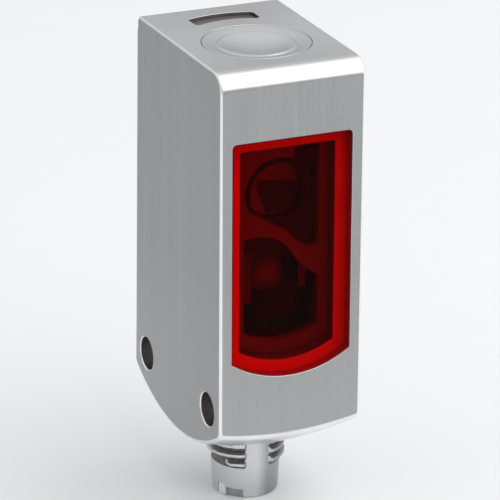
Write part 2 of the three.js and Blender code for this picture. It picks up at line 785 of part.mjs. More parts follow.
function switchBody() {
  const outline = roundedRectangle(-2.1, 2.1, BUTTON_Y - 1.9, BUTTON_Y + 1.9, 0.4);
  const body = plate('z', outline, TOP_BOARD_TOP + CHIP_GAP, SWITCH_TOP, { segments: 3 });
  const well = rod('z', PLUNGER_RADIUS + 0.06, SWITCH_TOP - 1.1, SWITCH_TOP + 1, AT_BUTTON, SMALL);
  return cut(body, well);
}

function switchPlunger() {
  const low = SWITCH_TOP - 1.1 + BUTTON_TRAVEL + 0.05;
  const high = STEM_END - 0.03;
  const profile = [[0, low], [PLUNGER_RADIUS, low], [PLUNGER_RADIUS, high - 0.1],
    [PLUNGER_RADIUS - 0.1, high], [0, high]];
  return turned('z', profile, AT_BUTTON, SMALL);
}

// Smoked light guide: fills the slot and spreads into a foot above the two lamps.
function indicatorWindow() {
  const head = plate('z', slotOutline(0.05), ROOM_TOP - 0.5, TOP - SLOT_GLASS_DROP);
  const foot = plate(
    'z',
    roundedRectangle(-4.1, 4.1, 4.4, 8.2, 0.4),
    TOP - 5.6,
    ROOM_TOP - 0.05,
    { segments: 3 },
  );
  return join(head, foot);
}

function indicatorLamp(x) {
  const low = TOP_BOARD_TOP + CHIP_GAP;
  const base = block(x - 0.8, x + 0.8, 5.9, 6.7, low, low + 0.35);
  const outline = roundedRectangle(x - 0.55, x + 0.55, 5.95, 6.65, 0.1);
  return join(base, plate('z', outline, low + 0.2, low + 0.8, { segments: 2 }));
}

// ---------------------------------------------------------------- plug

const AT_PLUG = [0, 0];

// Trapezoidal ridge of the M8 thread, broken on the side that faces the front.
function threadTurns() {
  const ridge = new THREE.Shape();
  ridge.moveTo(THREAD_ROOT - 0.2, THREAD_LOW - 0.4);
  ridge.lineTo(THREAD_ROOT, THREAD_LOW - 0.4);
  ridge.lineTo(PLUG_RADIUS, THREAD_LOW - 0.14);
  ridge.lineTo(PLUG_RADIUS, THREAD_LOW + 0.14);
  ridge.lineTo(THREAD_ROOT, THREAD_LOW + 0.4);
  ridge.lineTo(THREAD_ROOT - 0.2, THREAD_LOW + 0.4);
  ridge.closePath();
  const pieces = [];
  const start = -120;
  const end = start + 360 * THREAD_TURNS;
  let from = start;
  for (let middle = THREAD_GAP_MIDDLE; from < end; middle += 360) {
    const to = Math.min(middle - THREAD_GAP_HALF, end);
    const firstStretch = from === start;
    pieces.push(helix(ridge, {
      from,
      to,
      start,
      pitch: THREAD_PITCH,
      base: THREAD_ROOT,
      steps: Math.ceil((to - from) / 24),
      centre: AT_PLUG,
      reach: firstStretch ? (t) => 0.25 + 0.75 * t : () => 1,
    }));
    from = middle + THREAD_GAP_HALF;
  }
  return pieces;
}

function connectorShell() {
  const flangeTop = WELL_FLOOR + 0.02 + FLANGE_THICKNESS;
  const profile = [
    [SOCKET_RADIUS, PLUG_END],
    [BARREL_END_RADIUS - 0.35, PLUG_END],
    [BARREL_END_RADIUS - 0.1, PLUG_END + 0.1],
    [BARREL_END_RADIUS, PLUG_END + 0.4],
    [BARREL_TOP_RADIUS, BARREL_TOP],
    [THREAD_ROOT, BARREL_TOP + 0.1],
    [THREAD_ROOT, COLLAR_END - 0.2],
    [PLUG_RADIUS, COLLAR_END],
    [PLUG_RADIUS, -4.2],
    [PLUG_RADIUS - 0.5, -4.2],
    [PLUG_RADIUS - 0.5, -3.6],
    [PLUG_RADIUS, -3.6],
    [PLUG_RADIUS, WELL_FLOOR + 0.02],
    [FLANGE_RADIUS, WELL_FLOOR + 0.02],
    [FLANGE_RADIUS, flangeTop],
    [SHELL_BORE_RADIUS, flangeTop],
    [SHELL_BORE_RADIUS, SHELL_SHOULDER],
    [SOCKET_RADIUS, SHELL_SHOULDER],
    [SOCKET_RADIUS, PLUG_END],
  ];
  const body = turned('z', profile, AT_PLUG);
  const notchInner = BARREL_END_RADIUS - NOTCH_DEPTH;
  const notch = plateGeometry(
    'z',
    rectangle(-NOTCH_WIDTH / 2, NOTCH_WIDTH / 2, -PLUG_RADIUS - 1, -notchInner),
    PLUG_END - 1,
    PLUG_END + NOTCH_HEIGHT,
  );
  notch.rotateZ(degrees(NOTCH_DIRECTION));
  return cut(join(body, ...threadTurns()), solidOf(notch));
}

function shellSeal() {
  return torus(PLUG_RADIUS - 0.2, 0.18, -3.9, AT_PLUG);
}

// Contact places seen from below: a trapezoid of four, as on every 4-pole M8 plug.
const PIN_PLACES = [[-1.25, -0.95], [1.25, -0.95], [1, 1.1], [-1, 1.1]];

function connectorInsert() {
  const profile = [
    [0, SOCKET_FLOOR],
    [SOCKET_RADIUS - 0.05, SOCKET_FLOOR],
    [SOCKET_RADIUS - 0.05, SHELL_SHOULDER + 0.03],
    [SHELL_BORE_RADIUS - 0.05, SHELL_SHOULDER + 0.03],
    [SHELL_BORE_RADIUS - 0.05, -5],
    [SHELL_BORE_RADIUS - 0.6, -5],
    [SHELL_BORE_RADIUS - 0.6, -4.2],
    [SHELL_BORE_RADIUS - 0.05, -4.2],
    [SHELL_BORE_RADIUS - 0.05, -3.2],
    [2.3, -3.2],
    [2.3, -1.6],
    [0, -1.6],
  ];
  const holes = PIN_PLACES.map((place) =>
    rod('z', PIN_RADIUS + 0.03, SOCKET_FLOOR - 1, 0, place, SMALL),
  );
  return cut(turned('z', profile, AT_PLUG), ...holes);
}

function insertSeal() {
  return torus(SHELL_BORE_RADIUS - 0.3, 0.25, -4.6, AT_PLUG);
}

function retainingRing() {
  return ring('z', 2.35, SHELL_BORE_RADIUS - 0.05, -3.15, -2.3, AT_PLUG);
}

function contactPin(place) {
  const cup = [[0, PIN_END], [0.2, PIN_END], [PIN_RADIUS, PIN_END + 0.5], [PIN_RADIUS, PIN_TOP],
    [0, PIN_TOP]];
  return turned('z', cup, place, SMALL);
}

// Leads run from the contacts to pads near the lower edge of the main board.
const PAD_PLACES = [-3.3, 3.3, 1.1, -1.1];

function leadWire(place, padX) {
  const pad = [padX, MAIN_BOARD_FRONT - 0.05, ROOM_SHELF + 3.2];
  const start = PIN_TOP + 0.05;
  return tubeAlong(
    [
      [place[0], place[1], start],
      [place[0], place[1], start + 0.8],
      [(place[0] + padX) / 2, 1.6 + place[1] / 2, start + 3.4],
      [padX, 4, ROOM_SHELF + 2.9],
      pad,
    ],
    WIRE_RADIUS,
    14,
    4,
  );
}

// ---------------------------------------------------------------- assembly

const model = new THREE.Group();
model.position.x = -HALF_WIDTH;

function add(name, solid, finish) {
  const mesh = new THREE.Mesh(geometryOf(solid), new THREE.MeshStandardMaterial(finish));
  mesh.name = name;
  model.add(mesh);
}

add('housing', housing(), STEEL);
add('front_window', frontWindow(), RED_PANE);
add('window_seal', windowSeal(), PALE_SEAL);
add('aperture_mask', apertureMask(), GREY_PLASTIC);
add('optics_carrier', opticsCarrier(), BLACK_PLASTIC);
add('emitter_lens', emitterLens(), CLEAR_LENS);
add('receiver_lens', receiverLens(), CLEAR_LENS);
add('emitter_led', emitterLed(), PALE_SEAL);
add('receiver_diode', receiverDiode(), CHIP_BLACK);
add('receiver_shield', receiverShield(), DARK_STEEL);
add('optics_board', opticsBoard(), GREEN_BOARD);
for (const [name, place] of Object.entries(SCREW_PLACES)) {
  add(`board_screw_${name}`, boardScrew(place), DARK_STEEL);
}
add('main_board', mainBoard(), GREEN_BOARD);
for (const [name, side, x, drop, width, height, thickness, finish] of MAIN_BOARD_CHIPS) {
  add(name, chip(side, x, drop, width, height, thickness), finish);
}
add('top_board', topBoard(), GREEN_BOARD);
add('top_board_header', topBoardHeader(), BLACK_PLASTIC);
add('board_link', boardLink(), AMBER_FILM);
add('button_cap', buttonCap(), STEEL);
add('button_seal', torus(STEM_RADIUS - 0.2, STEM_SEAL_RADIUS, STEM_SEAL_MIDDLE, AT_BUTTON),
  BLACK_RUBBER);
add('button_clip', buttonClip(), DARK_STEEL);
add('button_spring', buttonSpring(), DARK_STEEL);
add('switch_body', switchBody(), BLACK_PLASTIC);
add('switch_plunger', switchPlunger(), PALE_SEAL);
add('indicator_window', indicatorWindow(), SMOKED_PANE);
add('led_green', indicatorLamp(-1.7), CLEAR_LENS);
add('led_yellow', indicatorLamp(1.7), CLEAR_LENS);
add('connector_shell', connectorShell(), STEEL);
add('shell_seal', shellSeal(), BLACK_RUBBER);
add('connector_insert', connectorInsert(), BLACK_PLASTIC);
add('insert_seal', insertSeal(), BLACK_RUBBER);
add('retaining_ring', retainingRing(), DARK_STEEL);
PIN_PLACES.forEach((place, i) => {
  add(`contact_pin_${i + 1}`, contactPin(place), GOLD);
  add(`lead_wire_${i + 1}`, leadWire(place, PAD_PLACES[i]), BLACK_RUBBER);
});

const sensor = new THREE.Group();
sensor.add(model);

export default sensor;
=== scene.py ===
"""The looks of a compact photoelectric sensor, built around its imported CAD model.

Metres throughout, in the CAD's own frame: +Z up, the window facing -Y, and the origin on the +X
side face between the two cross holes. Outlines are worked out about the middle of the width and
moved to it when a mesh is made.
"""

import json
import math

import bmesh
import bpy
from mathutils import Matrix, Vector


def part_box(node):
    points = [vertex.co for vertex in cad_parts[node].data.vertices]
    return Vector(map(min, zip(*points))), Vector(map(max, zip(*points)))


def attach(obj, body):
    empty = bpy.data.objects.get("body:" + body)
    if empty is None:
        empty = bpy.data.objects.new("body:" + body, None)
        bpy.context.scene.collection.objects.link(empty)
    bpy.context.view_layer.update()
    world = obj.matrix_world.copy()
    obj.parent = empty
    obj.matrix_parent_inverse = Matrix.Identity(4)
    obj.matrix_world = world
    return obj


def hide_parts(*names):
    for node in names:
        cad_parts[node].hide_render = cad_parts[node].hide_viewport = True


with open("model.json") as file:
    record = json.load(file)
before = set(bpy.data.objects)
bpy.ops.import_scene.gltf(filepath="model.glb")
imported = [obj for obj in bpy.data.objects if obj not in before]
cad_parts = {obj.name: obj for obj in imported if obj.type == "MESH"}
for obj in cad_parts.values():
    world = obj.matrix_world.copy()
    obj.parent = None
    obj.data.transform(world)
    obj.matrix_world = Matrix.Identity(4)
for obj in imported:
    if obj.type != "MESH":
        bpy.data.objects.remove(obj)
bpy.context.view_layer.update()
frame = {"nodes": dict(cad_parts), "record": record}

# -------------------- sizes

MM = 0.001

shell_low, shell_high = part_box("housing")
pane_low, pane_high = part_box("front_window")
seal_low, seal_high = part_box("window_seal")
mask_low, mask_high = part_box("aperture_mask")
lens_low, lens_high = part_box("emitter_lens")
receiver_low, receiver_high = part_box("receiver_lens")
cap_low, cap_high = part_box("button_cap")
slot_low, slot_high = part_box("indicator_window")
plug_low, plug_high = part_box("connector_shell")
insert_low, insert_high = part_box("connector_insert")

HALF_WIDTH = (shell_high.x - shell_low.x) / 2
MIDDLE_X = (shell_high.x + shell_low.x) / 2
FRONT = shell_low.y
BACK = shell_high.y
TOP = shell_high.z

EDGE_ROUND = 0.28 * MM
FOOT_EDGE_ROUND = 0.4 * MM
FOOT_ROUND_STARTS = 2 * MM
FOOT_ROUND_SPREAD = 4 * MM
REAR_EDGE_ROUND = 1.3 * MM
TOP_FRONT_FILLET = 1.9 * MM
TOP_REAR_FILLET = 1.7 * MM
FOOT_FILLET = 1.2 * MM
FOOT_RADIUS = 20 * MM
FOOT_CROWN = 0.62 * MM
FOOT_LOW = -5.3 * MM
CROWN_STARTS_AT = 2.5 * MM
CROWN_FULL_AT = -1 * MM
SUPPORT = 0.03 * MM
MOUTH_ROUND = 0.05 * MM
CUT_PAST = 0.3 * MM
FINE_MOUTH = 0.025 * MM

ROOM_HALF_WIDTH = 6.4 * MM
ROOM_FRONT = -8.1 * MM
ROOM_BACK = 9.9 * MM
ROOM_TOP = TOP - 3.2 * MM
ROOM_SHELF = 3.3 * MM
ROOM_CORNER = 0.8 * MM
WELL_HALF_DEPTH = 4.9 * MM
WELL_FLOOR = -3 * MM
WELL_CORNER = 0.5 * MM

HOLE_RADIUS = 1.6 * MM
HOLE_Y = 7.9 * MM
SINK_RADIUS = 1.73 * MM
SINK_MOUTH = 0.1 * MM
SINK_DEPTH = 1.3 * MM
SINK_CONE = 0.24 * MM

WINDOW_GAP = 0.06 * MM
WINDOW_HALF_WIDTH = (pane_high.x - pane_low.x) / 2 + WINDOW_GAP
WINDOW_TOP = pane_high.z + WINDOW_GAP
WINDOW_ARC_RADIUS = 11.14 * MM
WINDOW_ARC_CENTRE = pane_low.z - WINDOW_GAP + WINDOW_ARC_RADIUS
WINDOW_CORNER = 0.45 * MM
APERTURE_CORNER = 0.25 * MM
MASK_CORNER = 0.3 * MM
LEDGE_WIDTH = 1.23 * MM
LEDGE_FRONT = seal_high.y + 0.01 * MM

BUTTON_Y = (cap_low.y + cap_high.y) / 2
BUTTON_RADIUS = (cap_high.x - cap_low.x) / 2 + 0.22 * MM
POCKET_RADIUS = BUTTON_RADIUS + 0.06 * MM
POCKET_FLOOR = TOP - 2.2 * MM
STEM_RADIUS = 1.5 * MM
STEM_BORE = 1.56 * MM
BOSS_RADIUS = 3 * MM
BOSS_END = TOP - 4 * MM

SLOT_INNER = 7.6 * MM
SLOT_OUTER = 9.7 * MM
SLOT_HALF_LENGTH = 3.5 * MM
SLOT_CORNER = 0.45 * MM

PLUG_RADIUS = 4 * MM
PLUG_BORE = PLUG_RADIUS + 0.05 * MM

# -------------------- outlines


def arc(centre, radius, start, end, steps):
    """Points on an arc, from start to end in degrees."""
    points = []
    for i in range(steps + 1):
        angle = math.radians(start + (end - start) * i / steps)
        points.append((centre[0] + radius * math.cos(angle), centre[1] + radius * math.sin(angle)))
    return points


def circle(centre, radius, steps):
    return arc(centre, radius, 0, 360, steps)[:-1]


def rectangle(x0, x1, y0, y1):
    return [(x0, y0), (x1, y0), (x1, y1), (x0, y1)]


def fillet(points, radius, steps=4, closed=True):
    """The same outline with each corner rounded as far as its sides allow."""
    rounded = []
    count = len(points)
    for i, point in enumerate(points):
        if not closed and i in (0, count - 1):
            rounded.append(tuple(point))
            continue
        corner = Vector(point)
        before = Vector(points[i - 1]) - corner
        after = Vector(points[(i + 1) % count]) - corner
        bend = before.angle(after)
        if bend > math.radians(175):
            rounded.append(tuple(point))
            continue
        reach = min(radius / math.tan(bend / 2), 0.45 * before.length, 0.45 * after.length)
        size = reach * math.tan(bend / 2)
        middle = corner + (before.normalized() + after.normalized()).normalized() * (
            size / math.sin(bend / 2)
        )
        first = corner + before.normalized() * reach - middle
        last = corner + after.normalized() * reach - middle
        start = math.atan2(first.y, first.x)
        turn = (math.atan2(last.y, last.x) - start + math.pi) % (2 * math.pi) - math.pi
        for k in range(steps + 1):
            angle = start + turn * k / steps
            rounded.append((middle.x + size * math.cos(angle), middle.y + size * math.sin(angle)))
    return rounded


def eased(value):
    value = min(max(value, 0), 1)
    return value * value * (3 - 2 * value)


def quarter_round(radius, steps=4):
    """(inset, depth) pairs from a flat face round to the side below it."""
    pairs = []
    for i in range(steps + 1):
        angle = math.pi / 2 * i / steps
        pairs.append((radius * (1 - math.sin(angle)), radius * (1 - math.cos(angle))))
    return pairs


def window_outline(inset, corner=WINDOW_CORNER):
    half = WINDOW_HALF_WIDTH - inset
    top = WINDOW_TOP - inset
    radius = WINDOW_ARC_RADIUS - inset
    spread = math.degrees(math.asin(half / radius))
    bottom = arc((0, WINDOW_ARC_CENTRE), radius, -90 - spread, spread - 90, 40)
    right = arc((half - corner, top - corner), corner, 0, 90, 6)
    left = arc((corner - half, top - corner), corner, 90, 180, 6)
    return bottom + right + left


def slot_outline(inset):
    outer = SLOT_OUTER - inset
    inner = SLOT_INNER + inset
    corner = SLOT_CORNER - inset / 2
    bend = SLOT_HALF_LENGTH - inset - corner
    outer_angle = math.degrees(math.acos(bend / outer))
    inner_angle = math.degrees(math.acos(bend / inner))
    far = arc((0, BUTTON_Y), outer, outer_angle, 180 - outer_angle, 24)
    near = arc((0, BUTTON_Y), inner, 180 - inner_angle, inner_angle, 24)

    def turn(end, side, start):
        return arc((end[0], end[1] + side * corner), corner, start, start + 90, 4)

    left = turn(far[-1], -1, 90) + turn(near[0], 1, 180)
    right = turn(near[-1], 1, -90) + turn(far[0], -1, 0)
    return far[1:-1] + left + near[1:-1] + right


# -------------------- mesh making


def finished(name, bm, material, sharp_above=35):
    """A mesh object from bm, shaded smooth except across edges sharper than the given angle."""
    bmesh.ops.recalc_face_normals(bm, faces=bm.faces)
    mesh = bpy.data.meshes.new(name)
    bm.to_mesh(mesh)
    bm.free()
    piece = bpy.data.objects.new(name, mesh)
    bpy.context.scene.collection.objects.link(piece)
    if material is not None:
        mesh.materials.append(material)
    smooth(piece, sharp_above)
    return piece


def smooth(piece, sharp_above=35):
    for polygon in piece.data.polygons:
        polygon.use_smooth = True
    piece.data.set_sharp_from_angle(angle=math.radians(sharp_above))


def even_shading(piece):
    """Large flat faces keep their own normal beside small rounded ones."""
    weighted = piece.modifiers.new("even_shading", "WEIGHTED_NORMAL")
    weighted.keep_sharp = True
    weighted.weight = 100


def bridge(bm, low, high):
    if len(low) == 1 and len(high) == 1:
        return
    count = max(len(low), len(high))
    for i in range(count):
        j = (i + 1) % count
        if len(low) == 1:
            corners = (low[0], high[j], high[i])
        elif len(high) == 1:
            corners = (low[i], low[j], high[0])
        else:
            corners = (low[i], low[j], high[j], high[i])
        bm.faces.new(corners)


def loft_mesh(rings, closed=False):
    """A bmesh over rings of points: capped at both ends, or joined last to first."""
    bm = bmesh.new()
    rows = [[bm.verts.new(point) for point in ring] for ring in rings]
    for low, high in zip(rows, rows[1:]):
        bridge(bm, low, high)
    if closed:
        bridge(bm, rows[-1], rows[0])
    else:
        for row in (rows[0], rows[-1]):
            if len(row) > 1:
                bm.faces.new(row)
    return bm


def loft(name, rings, material=None, closed=False, sharp_above=35):
    return finished(name, loft_mesh(rings, closed), material, sharp_above)


def levels_x(levels):
    return [[(MIDDLE_X + x, u, v) for u, v in outline] for x, outline in levels]


def levels_y(levels):
    return [[(MIDDLE_X + u, y, v) for u, v in outline] for y, outline in levels]


def levels_z(levels):
    return [[(MIDDLE_X + u, v, z) for u, v in outline] for z, outline in levels]


def spun(axis, centre, profile, segments):
    """Rings of points for a profile of (radius, distance along the axis)."""
    rings = []
    for radius, along in profile:
        ring = []
        for i in range(segments if radius > 1e-9 else 1):
            angle = 2 * math.pi * i / segments
            across = radius * math.sin(angle)
            up = -radius * math.cos(angle)
            if axis == "z":
                ring.append((MIDDLE_X + centre[0] + across, centre[1] + up, along))
            elif axis == "y":
                ring.append((MIDDLE_X + centre[0] + across, along, centre[1] + up))
            else:
                ring.append((MIDDLE_X + along, centre[0] + across, centre[1] + up))
        rings.append(ring)
    return rings


def lathe(name, profile, axis="z", centre=(0, 0), segments=96, material=None, closed=False):
    return loft(name, spun(axis, centre, profile, segments), material, closed)


def applied(piece):
    """The piece with its modifiers worked into its mesh."""
    depsgraph = bpy.context.evaluated_depsgraph_get()
    mesh = bpy.data.meshes.new_from_object(piece.evaluated_get(depsgraph))
    mesh.name = piece.name
    piece.modifiers.clear()
    piece.data = mesh
    return piece


def carve(piece, *cutters, operation="DIFFERENCE"):
    for cutter in cutters:
        step = piece.modifiers.new("carve", "BOOLEAN")
        step.operation = operation
        step.solver = "EXACT"
        step.object = cutter
    applied(piece)
    for cutter in cutters:
        bpy.data.objects.remove(cutter)
    return piece


def mouth(outline, face, outwards, depth, size=MOUTH_ROUND):
    """Levels of a cutter that enters a flat face with a rounded mouth and runs to a depth."""
    levels = [(face + outwards * CUT_PAST, outline(-size))]
    for inset, down in quarter_round(size)[1:]:
        levels.append((face - outwards * down, outline(-inset)))
    levels.append((depth, outline(0)))
    return levels


# -------------------- materials


def mixed(node_tree, factor, first, second):
    mix = node_tree.nodes.new("ShaderNodeMix")
    mix.data_type = "RGBA"
    for value, socket in ((factor, 0), (first, 6), (second, 7)):
        feed(node_tree, value, mix.inputs[socket])
    return mix.outputs[2]


def feed(node_tree, value, socket):
    """Links a socket, or sets a number or colour."""
    if isinstance(value, bpy.types.NodeSocket):
        node_tree.links.new(value, socket)
    elif isinstance(value, (int, float)):
        socket.default_value = value
    else:
        socket.default_value = (*value[:3], 1)


def scaled_place(node_tree, scale):
    place = node_tree.nodes.new("ShaderNodeTexCoord")
    mapping = node_tree.nodes.new("ShaderNodeMapping")
    mapping.inputs["Scale"].default_value = scale
    node_tree.links.new(place.outputs["Object"], mapping.inputs["Vector"])
    return mapping.outputs["Vector"]


def noise(node_tree, scale, detail=3, roughness=0.55, low=0.0, high=1.0):
    """Noise spread from low to high. The scale, in waves per metre, is one number or X, Y and Z."""
    if isinstance(scale, int):
        scale = (scale, scale, scale)
    texture = node_tree.nodes.new("ShaderNodeTexNoise")
    texture.inputs["Scale"].default_value = 1
    texture.inputs["Detail"].default_value = detail
    texture.inputs["Roughness"].default_value = roughness
    node_tree.links.new(scaled_place(node_tree, scale), texture.inputs["Vector"])
    spread = node_tree.nodes.new("ShaderNodeMapRange")
    spread.inputs["From Min"].default_value = 0.3
    spread.inputs["From Max"].default_value = 0.7
    spread.inputs["To Min"].default_value = low
    spread.inputs["To Max"].default_value = high
    node_tree.links.new(texture.outputs["Fac"], spread.inputs["Value"])
    return spread.outputs["Result"]


def math_node(node_tree, operation, first, second=0.0):
    node = node_tree.nodes.new("ShaderNodeMath")
    node.operation = operation
    feed(node_tree, first, node.inputs[0])
    feed(node_tree, second, node.inputs[1])
    return node.outputs[0]


def bump(node_tree, height, distance, strength=1.0):
    node = node_tree.nodes.new("ShaderNodeBump")
    node.inputs["Strength"].default_value = strength
    node.inputs["Distance"].default_value = distance
    node_tree.links.new(height, node.inputs["Height"])
    return node.outputs["Normal"]


def ranged(node_tree, value, start, end, low=0.0, high=1.0):
    """Runs from low to high while the value runs from start to end."""
    spread = node_tree.nodes.new("ShaderNodeMapRange")
    for name, number in zip(("From Min", "From Max", "To Min", "To Max"), (start, end, low, high)):
        spread.inputs[name].default_value = number
    node_tree.links.new(value, spread.inputs["Value"])
    return spread.outputs["Result"]


def facing(node_tree):
    """The surface's own X, Y and Z direction."""
    geometry = node_tree.nodes.new("ShaderNodeNewGeometry")
    split = node_tree.nodes.new("ShaderNodeSeparateXYZ")
    node_tree.links.new(geometry.outputs["Normal"], split.inputs[0])
    return split.outputs


def on_rounds(node_tree, flat=0.98, round_off=0.94):
    """0 on a face that looks straight along X, Y or Z, 1 on the rounds between such faces."""
    most = None
    for direction in facing(node_tree):
        size = math_node(node_tree, "ABSOLUTE", direction)
        most = size if most is None else math_node(node_tree, "MAXIMUM", most, size)
    return ranged(node_tree, most, flat, round_off)


def new_material(name, **settings):
    """A Principled material. Settings are numbers or colours set on its own sockets."""
    material = bpy.data.materials.new(name)
    material.use_nodes = True
    shader = material.node_tree.nodes["Principled BSDF"]
    for key, value in settings.items():
        socket = shader.inputs[key.replace("_", " ")]
        feed(material.node_tree, value, socket)
    return material, material.node_tree, shader


# Painted light: the brushed faces are painted paler from the first height down, fully at the second.
PAINTED_LIGHT_BELOW = 14 * MM
PAINTED_LIGHT_FULL_AT = -4 * MM


def brushed_shell():
    """Upright faces are brushed up and down, the top is finely blasted, and the rounds are polished. The
    faces that look along X are painted darker as painted shade, and the brushed faces are painted paler
    towards the foot as painted light.
    """
    material, tree, shader = new_material("brushed_shell", Metallic=1.0, Anisotropic=0.5)
    around = tree.nodes.new("ShaderNodeTangent")
    around.direction_type = "RADIAL"
    around.axis = "Z"
    feed(tree, around.outputs["Tangent"], shader.inputs["Tangent"])
    lines = noise(tree, (5200, 5200, 50), detail=4, roughness=0.75)
    bands = noise(tree, (900, 900, 9), detail=4, roughness=0.6)
    grain = noise(tree, 6000, detail=3)
    hairlines = ranged(tree, noise(tree, (1500, 1500, 6), detail=5, roughness=0.8), 0.72, 0.92)
    place = tree.nodes.new("ShaderNodeNewGeometry")
    height = tree.nodes.new("ShaderNodeSeparateXYZ")
    tree.links.new(place.outputs["Position"], height.inputs[0])
    # painted light: share of paler brushed colour, growing towards the foot
    painted_foot_light = ranged(tree, height.outputs["Z"], PAINTED_LIGHT_BELOW, PAINTED_LIGHT_FULL_AT, 0, 0.4)
    speckle = noise(tree, (4200, 4200, 3000), detail=2, roughness=0.7)
    clouds = noise(tree, 260, detail=3)
    across, _, up = facing(tree)
    # painted shade: the faces that look along X get a darker copy of the brushed steel
    painted_side_shade = ranged(tree, math_node(tree, "ABSOLUTE", across), 0.3, 0.8)
    brushed = mixed(tree, bands, (0.30, 0.30, 0.303), (0.335, 0.335, 0.34))
    side_shade_color = mixed(tree, bands, (0.24, 0.24, 0.243), (0.275, 0.275, 0.279))
    brushed = mixed(tree, painted_side_shade, brushed, side_shade_color)
    brushed = mixed(tree, math_node(tree, "MULTIPLY", lines, 0.36), brushed, (0.42, 0.42, 0.425))
    brushed = mixed(tree, math_node(tree, "MULTIPLY", hairlines, 0.45), brushed, (0.52, 0.52, 0.525))
    brushed = mixed(tree, math_node(tree, "MULTIPLY", speckle, 0.2), brushed, (0.48, 0.48, 0.485))
    brushed = mixed(tree, painted_foot_light, brushed, (0.50, 0.50, 0.505))
    polished = mixed(tree, clouds, (0.90, 0.90, 0.90), (0.97, 0.97, 0.97))
    blasted = mixed(tree, grain, (0.52, 0.525, 0.53), (0.60, 0.605, 0.61))
    blasted = mixed(tree, math_node(tree, "MULTIPLY", clouds, 0.3), blasted, (0.60, 0.605, 0.61))
    upward = ranged(tree, up, 0.88, 0.97)
    rounds = math_node(tree, "MULTIPLY", on_rounds(tree), ranged(tree, lines, 0, 1, 0.85, 1))
    color = mixed(tree, rounds, brushed, polished)
    feed(tree, mixed(tree, upward, color, blasted), shader.inputs["Base Color"])
    rough = ranged(tree, lines, 0, 1, 0.28, 0.40)
    rough = mixed(tree, rounds, rough, (0.28, 0.28, 0.28))
    rough = mixed(tree, upward, rough, ranged(tree, grain, 0, 1, 0.36, 0.46))
    feed(tree, rough, shader.inputs["Roughness"])
    fine = mixed(tree, upward, lines, grain)
    feed(tree, bump(tree, fine, 0.004 * MM, 0.5), shader.inputs["Normal"])
    return material


def satin_steel():
    material, tree, shader = new_material("satin_steel", Metallic=1.0)
    grain = noise(tree, 8000, detail=2)
    clouds = noise(tree, 400, detail=3)
    color = mixed(tree, grain, (0.60, 0.61, 0.615), (0.64, 0.65, 0.655))
    color = mixed(tree, math_node(tree, "MULTIPLY", clouds, 0.3), color, (0.59, 0.60, 0.605))
    feed(tree, color, shader.inputs["Base Color"])
    feed(tree, noise(tree, 5000, low=0.22, high=0.26), shader.inputs["Roughness"])
    feed(tree, bump(tree, grain, 0.001 * MM, 0.15), shader.inputs["Normal"])
    return material


def turned_steel():
    """Lathe marks run round the plug's axis, and the side that faces +X is painted darker as painted
    shade.
    """
    material, tree, shader = new_material("turned_steel", Metallic=1.0)
    rings = noise(tree, (40, 40, 14000), detail=2)
    clouds = noise(tree, 300, detail=2)
    color = mixed(tree, rings, (0.66, 0.66, 0.665), (0.68, 0.68, 0.685))
    color = mixed(tree, math_node(tree, "MULTIPLY", clouds, 0.3), color, (0.62, 0.62, 0.625))
    # painted shade: the side facing +X is darkened
    color = mixed(tree, ranged(tree, facing(tree)[0], -0.05, 0.3), color, (0.36, 0.36, 0.365))
    feed(tree, color, shader.inputs["Base Color"])
    feed(tree, noise(tree, (60, 60, 9000), low=0.26, high=0.32), shader.inputs["Roughness"])
    feed(tree, bump(tree, clouds, 0.001 * MM, 0.2), shader.inputs["Normal"])
    return material


def metal(name, dark, light, roughness=0.3):
    material, tree, shader = new_material(name, Metallic=1.0)
    grain = noise(tree, 4000, detail=3)
    feed(tree, mixed(tree, grain, dark, light), shader.inputs["Base Color"])
    rough = noise(tree, 900, low=roughness - 0.06, high=roughness + 0.08)
    feed(tree, rough, shader.inputs["Roughness"])
    feed(tree, bump(tree, grain, 0.002 * MM, 0.4), shader.inputs["Normal"])
    return material


def plastic(name, dark, light, roughness=0.5, glare=1.0):
    material, tree, shader = new_material(name, Specular_Tint=(glare, glare, glare))
    grain = noise(tree, 5000, detail=3)
    clouds = noise(tree, 350, detail=3)
    color = mixed(tree, grain, dark, light)
    color = mixed(tree, math_node(tree, "MULTIPLY", clouds, 0.4), color, dark)
    feed(tree, color, shader.inputs["Base Color"])
    rough = noise(tree, 700, low=roughness - 0.08, high=roughness + 0.08)
    feed(tree, rough, shader.inputs["Roughness"])
    feed(tree, bump(tree, grain, 0.004 * MM, 0.6), shader.inputs["Normal"])
    return material


def see_through(name, tint_low, tint_high, roughness, ior=1.49, glare=1.0):
    """Clear plastic or glass: lamps shine through it in its own colour."""
    material, tree, shader = new_material(
        name, IOR=ior, Transmission_Weight=1.0, Specular_Tint=(glare, glare, glare)
    )
    clouds = noise(tree, 500, detail=2)
    color = mixed(tree, clouds, tint_low, tint_high)
    feed(tree, color, shader.inputs["Base Color"])
    rough = noise(tree, 1500, low=roughness, high=roughness + 0.02)
    feed(tree, rough, shader.inputs["Roughness"])
    path = tree.nodes.new("ShaderNodeLightPath")
    clear = tree.nodes.new("ShaderNodeBsdfTransparent")
    feed(tree, color, clear.inputs["Color"])
    blend = tree.nodes.new("ShaderNodeMixShader")
    output = tree.nodes["Material Output"]
    tree.links.new(path.outputs["Is Shadow Ray"], blend.inputs[0])
    tree.links.new(shader.outputs[0], blend.inputs[1])
    tree.links.new(clear.outputs[0], blend.inputs[2])
    tree.links.new(blend.outputs[0], output.inputs["Surface"])
    return material


